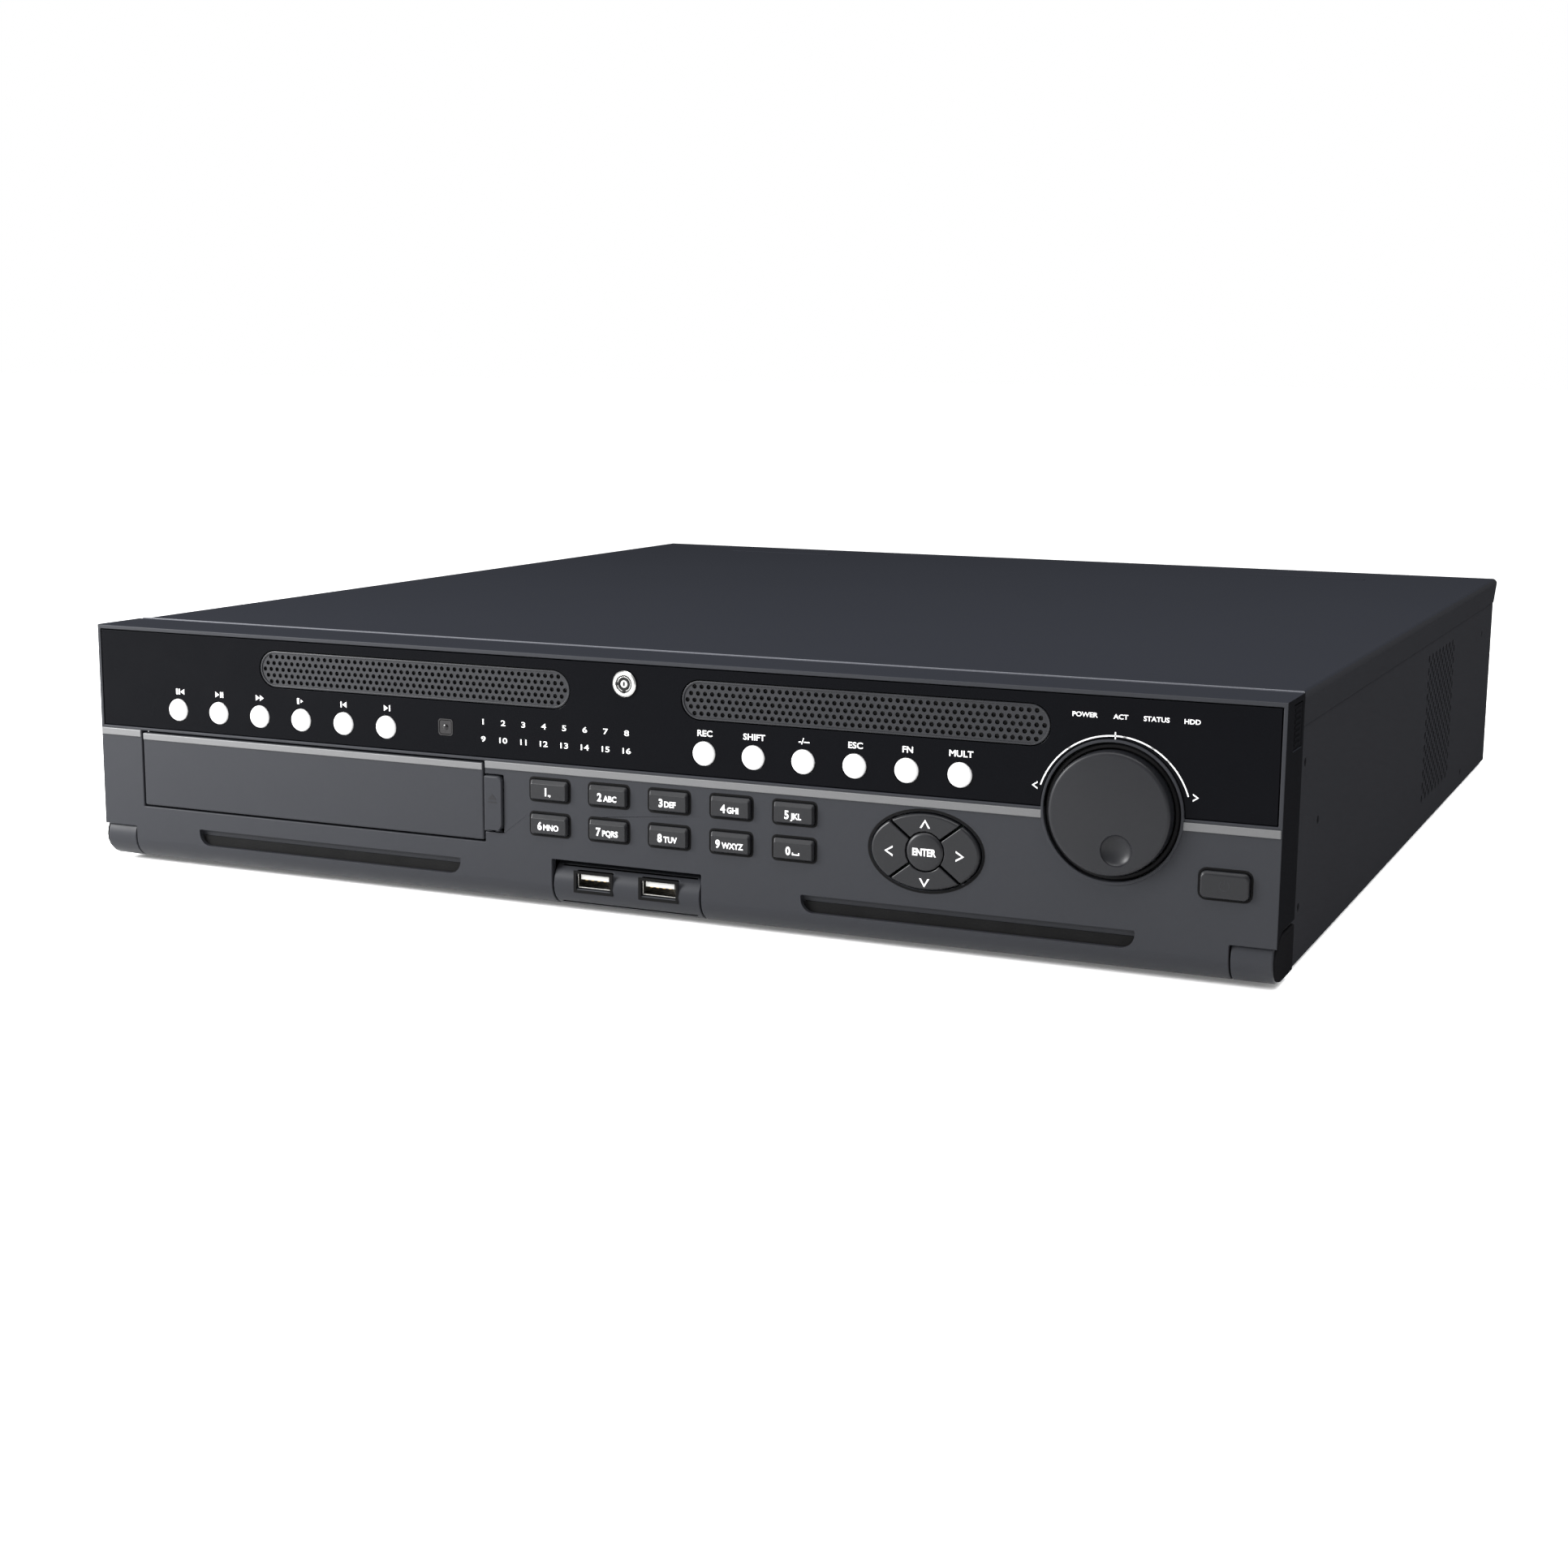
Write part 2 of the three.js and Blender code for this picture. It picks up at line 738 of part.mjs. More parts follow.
// ---------------------------------------------------------------- memory-stick module
const usbHalf = USB_MODULE_WIDTH / 2;
const usbZ = up(USB_Z);
let usbModule = bar(barrelProfile, -usbHalf, usbHalf);
usbModule = usbModule.subtract(
  box(
    -usbHalf + DOOR_SIDE_WALL,
    usbHalf - DOOR_SIDE_WALL,
    deep(DOOR_WALL),
    deep(DOOR_DEPTH + 1),
    FOOT_HEIGHT + 1.5,
    barrelTop - 1.5,
  ),
);
for (const x of [-USB_X, USB_X]) {
  usbModule = usbModule.subtract(
    box(
      x - USB_WIDTH / 2 - FIT,
      x + USB_WIDTH / 2 + FIT,
      deep(-1),
      deep(DOOR_WALL + 1),
      usbZ - USB_HEIGHT / 2 - FIT,
      usbZ + USB_HEIGHT / 2 + FIT,
    ),
  );
}
add("usb_module", usbModule, PANEL_GREY, 0.5, 0);

const usbBoardTop = usbZ - USB_HEIGHT / 2 + USB_WALL;
let usbBoard = box(
  -usbHalf + DOOR_SIDE_WALL + 1,
  usbHalf - DOOR_SIDE_WALL - 1,
  deep(DOOR_WALL + 1),
  deep(DOOR_DEPTH - 2),
  usbBoardTop - BOARD_THICKNESS,
  usbBoardTop,
);
for (const x of [-USB_X, USB_X]) {
  usbBoard = usbBoard.add(
    box(
      x - USB_WIDTH / 2,
      x + USB_WIDTH / 2,
      deep(1),
      deep(1 + USB_LENGTH),
      usbZ - USB_HEIGHT / 2,
      usbZ + USB_HEIGHT / 2,
    ),
  );
}
for (const x of [-USB_X, USB_X]) {
  usbBoard = usbBoard.subtract(
    box(
      x - USB_WIDTH / 2 + USB_WALL,
      x + USB_WIDTH / 2 - USB_WALL,
      deep(0),
      deep(USB_LENGTH - 1),
      usbZ - USB_HEIGHT / 2 + USB_WALL,
      usbZ + USB_HEIGHT / 2 - USB_WALL,
    ),
  );
}
add("usb_board", usbBoard, STEEL, 0.3, 0.9);

// ---------------------------------------------------------------- door shell
const doorOuter = [
  [0, bodyTop],
  ...barrelArc(BARREL_RADIUS, 2 * quarterTurn, 3 * quarterTurn, 8),
  [hingeDepth + 6, FOOT_HEIGHT],
  [DOOR_DEPTH, barrelTop + FLAP_GAP],
  [DOOR_DEPTH, bodyTop],
];
const cavityRadius = BARREL_RADIUS - 2.4;
const doorCavity = [
  [DOOR_WALL, bodyTop - 2],
  [DOOR_WALL, barrelTop],
  ...barrelArc(cavityRadius, 2 * quarterTurn, 3 * quarterTurn, 8),
  [hingeDepth + 9, hingeZ - cavityRadius],
  [DOOR_DEPTH + 1, barrelTop],
  [DOOR_DEPTH + 1, bodyTop - 2],
];
let door = bar(doorOuter, -halfWidth, halfWidth).subtract(
  bar(doorCavity, DOOR_SIDE_WALL - halfWidth, halfWidth - DOOR_SIDE_WALL),
);

// Recess and window for the fascia
const fasciaHalf = halfWidth - FASCIA_MARGIN;
const fasciaBottom = up(FASCIA_BOTTOM);
const fasciaTop = up(FASCIA_TOP);
const ledgeStart = DOOR_WALL - LEDGE_WALL;
door = door.subtract(
  box(-fasciaHalf, fasciaHalf, deep(-1), deep(ledgeStart), fasciaBottom, fasciaTop),
);
const windowHalf = fasciaHalf - LEDGE_WIDTH;
const windowBottom = up(ROUND_ROW) - ROUND_BUTTON_RADIUS - BUTTON_FLANGE - FIT;
door = door.subtract(
  box(
    -windowHalf,
    windowHalf,
    deep(0),
    deep(DOOR_WALL + 1),
    windowBottom,
    fasciaTop - LEDGE_WIDTH,
  ),
);

// Finger grips
const gripTop = up(GRIP_TOP);
const gripBottom = up(GRIP_BOTTOM);
for (const x of [-GRIP_X, GRIP_X]) {
  const gripCentre = across(x);
  const half = GRIP_WIDTH / 2;
  const backing = [
    [DOOR_WALL - 1, gripTop + 1.5],
    [DOOR_WALL - 1, gripBottom - 1.5],
    [DOOR_WALL + 1, gripBottom - 1.5],
    [GRIP_DEPTH + 1.5, gripTop + 1.5],
  ];
  const wedge = [
    [-1, gripTop],
    [-1, gripBottom],
    [0, gripBottom],
    [GRIP_DEPTH, gripTop],
  ];
  door = door.add(bar(backing, gripCentre - half - 2, gripCentre + half + 2));
  door = door.subtract(bar(wedge, gripCentre - half, gripCentre + half));
}

// Collar round the dial, standing in the notch of the fascia
const dialX = across(DIAL_X);
const dialZ = up(DIAL_Z);
const ringOuter = DIAL_RADIUS + KEY_GAP + RING_WALL;
const wellRadius = ringOuter + KEY_GAP;
const collarOuter = wellRadius + COLLAR_WALL;
door = door.add(rod(dialX, dialZ, collarOuter, -COLLAR_PROUD, DOOR_WALL, 40));
door = door.subtract(rod(dialX, dialZ, wellRadius, -1, DOOR_WALL + 1, 40));

// Openings for the disc flap, the memory-stick module and the knuckles
const flapHole = [
  flapX - FLAP_WIDTH / 2 - FLAP_GAP,
  flapX + FLAP_WIDTH / 2 + FLAP_GAP,
  flapZ - FLAP_HEIGHT / 2 - FLAP_GAP,
  flapZ + FLAP_HEIGHT / 2 + FLAP_GAP,
];
const ejectX = flapHole[1] + EJECT_WIDTH / 2;
const ejectZ = up(EJECT_Z);
door = door.subtract(
  box(flapHole[0], flapHole[1], deep(-1), deep(DOOR_WALL + 1), flapHole[2], flapHole[3]),
);
door = door.subtract(
  box(
    flapHole[1] - 1,
    flapHole[1] + EJECT_WIDTH + KEY_GAP,
    deep(-1),
    deep(DOOR_WALL + 1),
    ejectZ - EJECT_HEIGHT / 2 - KEY_GAP,
    ejectZ + EJECT_HEIGHT / 2 + KEY_GAP,
  ),
);
door = door.subtract(
  box(
    -usbHalf - FLAP_GAP,
    usbHalf + FLAP_GAP,
    deep(-1),
    deep(DOOR_DEPTH + 1),
    FOOT_HEIGHT - 1,
    barrelTop + FLAP_GAP,
  ),
);
const cornerTop = up(12.3);
for (const side of [-1, 1]) {
  const a = side * (knuckleInner - SWING_GAP);
  const b = side * (halfWidth + 1);
  const x0 = Math.min(a, b);
  const x1 = Math.max(a, b);
  door = door.subtract(
    box(x0, x1, deep(-1), deep(hingeDepth), FOOT_HEIGHT - 1, cornerTop),
  );
  door = door.subtract(
    box(x0, x1, deep(hingeDepth), deep(DOOR_DEPTH + 1), FOOT_HEIGHT - 1, barrelTop + FLAP_GAP),
  );
  door = door.subtract(hingeRod(BARREL_RADIUS + SWING_GAP, x0, x1, 32));
}

// Holes for the keys of the lower panel
const padX = across(PAD_X);
const padZ = up(PAD_Z);
const powerX = across(POWER_X);
const powerZ = up(POWER_Z);
for (const x of KEY_COLUMNS) {
  for (const z of KEY_ROWS) {
    const hole = roundRect(
      across(x),
      up(z),
      KEY_WIDTH + 2 * KEY_GAP,
      KEY_HEIGHT + 2 * KEY_GAP,
      0.9,
    );
    door = door.subtract(plate(hole, -1, DOOR_WALL + 1, 1));
  }
}
door = door.subtract(plate(oval(padX, padZ, PAD_WIDTH, PAD_HEIGHT), -1, DOOR_WALL + 1, 20));
const powerHole = roundRect(
  powerX,
  powerZ,
  POWER_WIDTH + 2 * KEY_GAP,
  POWER_HEIGHT + 2 * KEY_GAP,
  2.4,
);
door = door.subtract(plate(powerHole, -1, DOOR_WALL + 1, 3));

// Holes in the sides for the release latches
for (const side of [-1, 1]) {
  const a = side * (halfWidth - DOOR_SIDE_WALL - 1);
  const b = side * (halfWidth + 1);
  door = door.subtract(
    box(
      Math.min(a, b),
      Math.max(a, b),
      deep(LATCH_START - KEY_GAP),
      deep(LATCH_START + LATCH_DEPTH + KEY_GAP),
      latchZ - LATCH_HEIGHT / 2 - KEY_GAP,
      latchZ + LATCH_HEIGHT / 2 + KEY_GAP,
    ),
  );
}

// Sockets for the hinge pins, and bosses that carry the keypad board
for (const side of [-1, 1]) {
  const inner = side * (knuckleInner - SWING_GAP - 5);
  const outer = side * (knuckleInner - SWING_GAP);
  const x0 = Math.min(inner, outer);
  const x1 = Math.max(inner, outer);
  door = door.add(hingeRod(cavityRadius + 0.5, x0, x1, 16));
  door = door.subtract(hingeRod(2 + FIT, x0 - 1, x1 + 1, 12));
}
for (const [x, z] of [
  [-212, 50.6],
  [-70, 50.6],
  [78, 46.6],
  [78, 21],
  [143, 22],
  [212.5, 22],
]) {
  door = door.add(rod(across(x), up(z), 1.7, DOOR_WALL - 0.6, BOARD_DEPTH - FIT, 8));
}
add("door_shell", door, PANEL_GREY, 0.5, 0);

// ---------------------------------------------------------------- fascia
let fascia = box(
  -fasciaHalf + FIT,
  fasciaHalf - FIT,
  deep(0.1),
  deep(0.1 + FASCIA_THICKNESS),
  fasciaBottom + FIT,
  fasciaTop - FIT,
);
fascia = fascia.subtract(rod(dialX, dialZ, collarOuter + FIT, -1, DOOR_WALL, 40));
for (const x of [...ROUND_LEFT, ...ROUND_RIGHT]) {
  const radius = ROUND_BUTTON_RADIUS + FIT;
  fascia = fascia.subtract(rod(across(x), up(ROUND_ROW), radius, -1, DOOR_WALL, 16));
}
fascia = fascia.subtract(rod(0, lockZ, LOCK_BODY_RADIUS + FIT, -1, DOOR_WALL, 16));
const ventX = across(VENT_X);
const ventZ = up(VENT_Z);
for (const x of [-ventX, ventX]) {
  const window = roundRect(x, ventZ, VENT_LENGTH, VENT_HEIGHT, VENT_HEIGHT / 2);
  fascia = fascia.subtract(plate(window, -1, DOOR_WALL, 6));
}
fascia = fascia.subtract(
  plate(roundRect(across(SENSOR_X), up(SENSOR_Z), SENSOR_SIDE, SENSOR_SIDE, 1), -1, 0.7, 1),
);
add("fascia_panel", fascia, GLOSS_BLACK, 0.12, 0);

// ---------------------------------------------------------------- vent grilles
for (const [name, x] of [
  ["vent_grille_left", -ventX],
  ["vent_grille_right", ventX],
]) {
  const length = VENT_LENGTH - 2 * FIT;
  const height = VENT_HEIGHT - 2 * FIT;
  let grille = plate(roundRect(x, ventZ, length, height, height / 2), 0.8, 1.8, 6);
  const pitch = (length - height) / VENT_SLOTS;
  for (let i = 0; i < VENT_SLOTS; i += 1) {
    const slotX = x + (i - (VENT_SLOTS - 1) / 2) * pitch;
    grille = grille.subtract(
      box(
        slotX - VENT_SLOT_WIDTH / 2,
        slotX + VENT_SLOT_WIDTH / 2,
        deep(0),
        deep(DOOR_WALL),
        ventZ - height / 3,
        ventZ + height / 3,
      ),
    );
  }
  add(name, grille, PANEL_GREY, 0.5, 0.3);
}

// ---------------------------------------------------------------- keypad board
const boardEdge = halfWidth - 6;
const stripBottom = up(50);
const stripTop = up(66);
let keypad = box(
  flapX - FLAP_WIDTH / 2,
  boardEdge,
  deep(BOARD_DEPTH),
  deep(BOARD_DEPTH + BOARD_THICKNESS),
  stripBottom,
  stripTop,
);
keypad = keypad.add(
  box(
    -boardEdge,
    -boardEdge + 60,
    deep(BOARD_DEPTH),
    deep(BOARD_DEPTH + BOARD_THICKNESS),
    stripBottom,
    stripTop,
  ),
);
keypad = keypad.add(
  box(
    flapHole[1] + 1,
    boardEdge,
    deep(BOARD_DEPTH),
    deep(BOARD_DEPTH + BOARD_THICKNESS),
    up(18.6),
    stripBottom + 1,
  ),
);
keypad = keypad.add(
  box(
    across(152),
    across(202),
    deep(BOARD_DEPTH),
    deep(BOARD_DEPTH + BOARD_THICKNESS),
    stripTop - 1,
    up(83),
  ),
);
add("keypad_board", keypad, BOARD_GREEN, 0.7, 0.1);

// ---------------------------------------------------------------- round buttons
const roundNames = [
  "button_reverse",
  "button_play",
  "button_fast",
  "button_slow",
  "button_previous",
  "button_next",
  "button_record",
  "button_shift",
  "button_dash",
  "button_escape",
  "button_function",
  "button_multiple",
];
[...ROUND_LEFT, ...ROUND_RIGHT].forEach((place, i) => {
  const x = across(place);
  const z = up(ROUND_ROW);
  const cap = pillow(circle(x, z, ROUND_BUTTON_RADIUS), -ROUND_BUTTON_PROUD, 2.6, 0.5, 7);
  const flange = rod(x, z, ROUND_BUTTON_RADIUS + BUTTON_FLANGE, 2.2, 3, 8);
  const stem = rod(x, z, STEM_RADIUS, 2.8, stemEnd, 6);
  add(roundNames[i], cap.add(flange).add(stem), WHITE, 0.35, 0);
});

// ---------------------------------------------------------------- number keys
const keyNames = [
  ["key_1", "key_2", "key_3", "key_4", "key_5"],
  ["key_6", "key_7", "key_8", "key_9", "key_0"],
];
KEY_ROWS.forEach((row, j) => {
  KEY_COLUMNS.forEach((column, i) => {
    const x = across(column);
    const z = up(row);
    const outline = roundRect(x, z, KEY_WIDTH, KEY_HEIGHT, 1);
    const cap = pillow(outline, -KEY_PROUD, flangeDepth + 0.4, KEY_BEVEL, 1);
    const flange = box(
      x - KEY_WIDTH / 2 - BUTTON_FLANGE,
      x + KEY_WIDTH / 2 + BUTTON_FLANGE,
      deep(flangeDepth),
      deep(flangeDepth + FLANGE_THICKNESS),
      z - KEY_HEIGHT / 2 - BUTTON_FLANGE,
      z + KEY_HEIGHT / 2 + BUTTON_FLANGE,
    );
    const stem = rod(x, z, STEM_RADIUS, flangeDepth, stemEnd, 6);
    add(keyNames[j][i], cap.add(flange).add(stem), KEY_CHARCOAL, 0.45, 0);
  });
});

// ---------------------------------------------------------------- direction pad
const enterCap = pillow(circle(padX, padZ, ENTER_RADIUS), -KEY_PROUD, flangeDepth + 0.4, 0.6, 10);
const enterFlangeDepth = flangeDepth + FLANGE_THICKNESS + BUTTON_TRAVEL + KEY_GAP;
const enterFlange = rod(
  padX,
  padZ,
  ENTER_RADIUS + BUTTON_FLANGE,
  enterFlangeDepth,
  enterFlangeDepth + FLANGE_THICKNESS,
  12,
);
const enterStem = rod(padX, padZ, STEM_RADIUS, flangeDepth, stemEnd, 6);
add("enter_key", enterCap.add(enterFlange).add(enterStem), KEY_CHARCOAL, 0.45, 0);

const arrowWidth = PAD_WIDTH - 2 * KEY_GAP;
const arrowHeight = PAD_HEIGHT - 2 * KEY_GAP;
const padOutline = oval(padX, padZ, arrowWidth, arrowHeight);
let padBody = pillow(padOutline, -KEY_PROUD + 0.3, flangeDepth, 0.6, 20);
const padFlange = oval(padX, padZ, PAD_WIDTH + 1.4, PAD_HEIGHT + 1.4);
padBody = padBody.add(plate(padFlange, flangeDepth - 0.01, flangeDepth + FLANGE_THICKNESS, 12));
padBody = padBody.subtract(rod(padX, padZ, ENTER_RADIUS + KEY_GAP, -5, 12, 20));
const splitAngle = THREE.MathUtils.degToRad(PAD_SPLIT_ANGLE);
for (const angle of [splitAngle, -splitAngle]) {
  const gap = new THREE.BoxGeometry(PAD_WIDTH * 1.5, 20, 2 * KEY_GAP);
  gap.rotateY(angle);
  gap.translate(padX, deep(0), padZ);
  padBody = padBody.subtract(solid(gap));
}
const reach = PAD_WIDTH;
const far = [reach * Math.cos(splitAngle), reach * Math.sin(splitAngle)];
for (const [name, corners, stemX, stemZ] of [
  ["arrow_up", [far[0], far[1], -far[0], far[1]], 0, 9.4],
  ["arrow_left", [-far[0], far[1], -far[0], -far[1]], -12, 0],
  ["arrow_down", [-far[0], -far[1], far[0], -far[1]], 0, -9.4],
  ["arrow_right", [far[0], -far[1], far[0], far[1]], 12, 0],
]) {
  const wedge = new THREE.Shape([
    new THREE.Vector2(padX, padZ),
    new THREE.Vector2(padX + corners[0], padZ + corners[1]),
    new THREE.Vector2(padX + corners[2], padZ + corners[3]),
  ]);
  const key = padBody.intersect(plate(wedge, -5, 12));
  const stem = rod(padX + stemX, padZ + stemZ, STEM_RADIUS, flangeDepth, stemEnd, 6);
  add(name, key.add(stem), KEY_CHARCOAL, 0.45, 0);
}

// ---------------------------------------------------------------- power and eject buttons
const powerCap = pillow(
  roundRect(powerX, powerZ, POWER_WIDTH, POWER_HEIGHT, 2),
  -KEY_PROUD,
  flangeDepth + 0.4,
  KEY_BEVEL,
  3,
);
const powerFlange = box(
  powerX - POWER_WIDTH / 2 - BUTTON_FLANGE,
  powerX + POWER_WIDTH / 2 + BUTTON_FLANGE,
  deep(flangeDepth),
  deep(flangeDepth + FLANGE_THICKNESS),
  powerZ - POWER_HEIGHT / 2 - BUTTON_FLANGE,
  powerZ + POWER_HEIGHT / 2 + BUTTON_FLANGE,
);
add(
  "power_button",
  powerCap.add(powerFlange).add(rod(powerX, powerZ, STEM_RADIUS, flangeDepth, stemEnd, 6)),
  KEY_CHARCOAL,
  0.45,
  0,
);

const ejectCap = pillow(
  roundRect(ejectX, ejectZ, EJECT_WIDTH, EJECT_HEIGHT, 0.8),
  -1,
  flangeDepth + 0.4,
  0.5,
  1,
);
const ejectFlange = box(
  ejectX,
  ejectX + EJECT_WIDTH / 2 + BUTTON_FLANGE,
  deep(flangeDepth),
  deep(flangeDepth + FLANGE_THICKNESS),
  ejectZ - EJECT_HEIGHT / 2 - BUTTON_FLANGE,
  ejectZ + EJECT_HEIGHT / 2 + BUTTON_FLANGE,
);
const ejectStem = rod(ejectX + 1.5, ejectZ, STEM_RADIUS, flangeDepth, stemEnd, 6);
add("eject_button", ejectCap.add(ejectFlange).add(ejectStem), KEY_CHARCOAL, 0.45, 0);

// ---------------------------------------------------------------- dial and ring
const webEnd = RING_WEB_DEPTH + 1.5;
let shuttle = rod(dialX, dialZ, ringOuter, FIT, webEnd, 36);
shuttle = shuttle.subtract(rod(dialX, dialZ, ringOuter - RING_WALL, 0, RING_WEB_DEPTH, 36));
shuttle = shuttle.add(rod(dialX, dialZ, SPINDLE_RADIUS + 2, webEnd - 0.5, BOARD_DEPTH - FIT, 16));
shuttle = shuttle.subtract(rod(dialX, dialZ, SPINDLE_RADIUS + FIT, 0, BOARD_DEPTH, 16));
add("shuttle_ring", shuttle, RUBBER_BLACK, 0.5, 0);

let dial = pillow(
  circle(dialX, dialZ, DIAL_RADIUS),
  -DIAL_PROUD,
  RING_WEB_DEPTH - FIT,
  0.8,
  20,
);
dial = dial.add(rod(dialX, dialZ, SPINDLE_RADIUS, 0, BOARD_DEPTH - FIT, 16));
const dimpleRise = 3.5;
const dimpleBall = new THREE.SphereGeometry(
  (DIMPLE_RADIUS ** 2 + dimpleRise ** 2) / (2 * dimpleRise),
  20,
  14,
);
const ballRadius = (DIMPLE_RADIUS ** 2 + dimpleRise ** 2) / (2 * dimpleRise);
dimpleBall.rotateX(Math.PI / 2);
dimpleBall.translate(
  dialX,
  deep(-DIAL_PROUD) - ballRadius + dimpleRise,
  dialZ - DIMPLE_REACH,
);
add("jog_dial", dial.subtract(solid(dimpleBall)), PANEL_GREY, 0.45, 0);

// ---------------------------------------------------------------- key lock
let lockBarrel = rod(0, lockZ, LOCK_FLANGE_RADIUS, -0.8, -FIT + 0.1, 24);
lockBarrel = lockBarrel.add(rod(0, lockZ, LOCK_BODY_RADIUS, -0.6, LOCK_BODY_LENGTH, 16));
lockBarrel = lockBarrel.subtract(
  rod(0, lockZ, LOCK_PLUG_RADIUS + FIT, -2, LOCK_BODY_LENGTH + 1, 16),
);
add("lock_barrel", lockBarrel, 0xd8d8d8, 0.15, 1);

const camStart = bulkheadBack + 0.8;
let plug = rod(0, lockZ, LOCK_PLUG_RADIUS, -0.6, LOCK_BODY_LENGTH, 16);
plug = plug.subtract(ring(0, lockZ, KEYWAY_OUTER, KEYWAY_INNER, -2, 2.5, 16));
plug = plug.add(rod(0, lockZ, STEM_RADIUS, LOCK_BODY_LENGTH - 1, camStart + CAM_THICKNESS, 12));
plug = plug.add(
  box(
    -STEM_RADIUS,
    CAM_LENGTH,
    deep(camStart),
    deep(camStart + CAM_THICKNESS),
    lockZ - CAM_WIDTH / 2,
    lockZ + CAM_WIDTH / 2,
  ),
);
add("lock_plug", plug, 0xc0c0c0, 0.2, 1);

// ---------------------------------------------------------------- side latches
for (const [name, side] of [
  ["door_latch_left", -1],
  ["door_latch_right", 1],
]) {
  const span = (a, b) => [Math.min(side * a, side * b), Math.max(side * a, side * b)];
  const tab = box(
    ...span(tongueOuter - 0.5, halfWidth - 0.2),
    deep(LATCH_START),
    deep(LATCH_START + LATCH_DEPTH),
    latchZ - LATCH_HEIGHT / 2,
    latchZ + LATCH_HEIGHT / 2,
  );
  const tongue = box(
    ...span(tongueInner, tongueOuter),
    deep(LATCH_START),
    deep(tongueEnd),
    latchZ - TONGUE_HEIGHT / 2,
    latchZ + TONGUE_HEIGHT / 2,
  );
  add(name, tab.add(tongue), KEY_CHARCOAL, 0.5, 0);
}

export default recorder;
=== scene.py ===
import bmesh
import bpy
import math
from mathutils import Matrix, Vector


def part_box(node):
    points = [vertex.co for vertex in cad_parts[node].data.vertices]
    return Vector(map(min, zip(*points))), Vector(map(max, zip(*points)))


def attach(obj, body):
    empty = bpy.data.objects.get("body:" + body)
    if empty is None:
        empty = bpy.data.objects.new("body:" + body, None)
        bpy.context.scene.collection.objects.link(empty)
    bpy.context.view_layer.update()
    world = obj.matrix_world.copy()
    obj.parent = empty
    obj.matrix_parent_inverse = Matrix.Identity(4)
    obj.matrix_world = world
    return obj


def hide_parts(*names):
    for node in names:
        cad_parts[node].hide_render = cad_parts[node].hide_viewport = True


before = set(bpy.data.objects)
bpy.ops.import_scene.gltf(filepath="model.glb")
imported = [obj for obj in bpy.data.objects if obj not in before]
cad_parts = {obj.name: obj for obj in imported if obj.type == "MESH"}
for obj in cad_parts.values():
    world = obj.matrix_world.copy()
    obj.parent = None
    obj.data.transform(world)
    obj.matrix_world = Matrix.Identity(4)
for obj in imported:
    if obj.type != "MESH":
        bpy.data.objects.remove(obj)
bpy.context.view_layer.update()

# ---------------------------------------------------------------- camera
# A standing viewer's eye, nearly a metre from the front door and to its right.
# The lens is a short portrait length, level but for a slight look down.
MM = 0.001
VIEW_YAW = math.radians(23.98)
VIEW_PITCH = math.radians(10.17)
VIEW_ROLL = math.radians(0.53)
camera_lens = bpy.data.cameras.new("camera")
camera_lens.sensor_width = 36
camera_lens.lens = 53.1
camera = bpy.data.objects.new("camera", camera_lens)
bpy.context.collection.objects.link(camera)
camera.location = (358 * MM, -912 * MM, 184 * MM)
camera.rotation_euler = (
    Matrix.Rotation(VIEW_YAW, 4, "Z")
    @ Matrix.Rotation(math.pi / 2 - VIEW_PITCH, 4, "X")
    @ Matrix.Rotation(VIEW_ROLL, 4, "Z")
).to_euler()
bpy.context.scene.camera = camera

# ---------------------------------------------------------------- studio
# A pale seamless floor in a white room.
# A key light stands low at the front left; two overhead boxes light the upper edges and the cover.
bpy.context.scene.view_settings.view_transform = "Standard"
world = bpy.data.worlds.new("studio")
bpy.context.scene.world = world
world.use_nodes = True
world.node_tree.nodes["Background"].inputs["Color"].default_value = (1, 1, 1, 1)
world.node_tree.nodes["Background"].inputs["Strength"].default_value = 1.0

FLOOR_HALF = 30
floor_form = bmesh.new()
bmesh.ops.create_grid(floor_form, x_segments=1, y_segments=1, size=FLOOR_HALF)
floor_mesh = bpy.data.meshes.new("floor")
floor_form.to_mesh(floor_mesh)
floor_form.free()
floor = bpy.data.objects.new("floor", floor_mesh)
bpy.context.collection.objects.link(floor)


class Wire:
    """One socket of a finish; arithmetic on it adds the nodes that work it out."""

    def __init__(self, tree, socket):
        self.tree = tree
        self.socket = socket

    def node(self, kind, settings, sockets, output=0):
        made = self.tree.nodes.new(kind)
        for key, value in settings.items():
            setattr(made, key, value)
        for key, value in sockets.items():
            if isinstance(value, Wire):
                self.tree.links.new(value.socket, made.inputs[key])
            else:
                made.inputs[key].default_value = value
        return Wire(self.tree, made.outputs[output])

    def maths(self, operation, left, right):
        return self.node("ShaderNodeMath", {"operation": operation}, {0: left, 1: right})

    def __add__(self, other):
        return self.maths("ADD", self, other)

    def __sub__(self, other):
        return self.maths("SUBTRACT", self, other)

    def __mul__(self, other):
        return self.maths("MULTIPLY", self, other)


def shaded(colour, share):
    """The colour made lighter or darker by a share, with full alpha."""
    return tuple(min(1.0, part * share) for part in colour) + (1,)


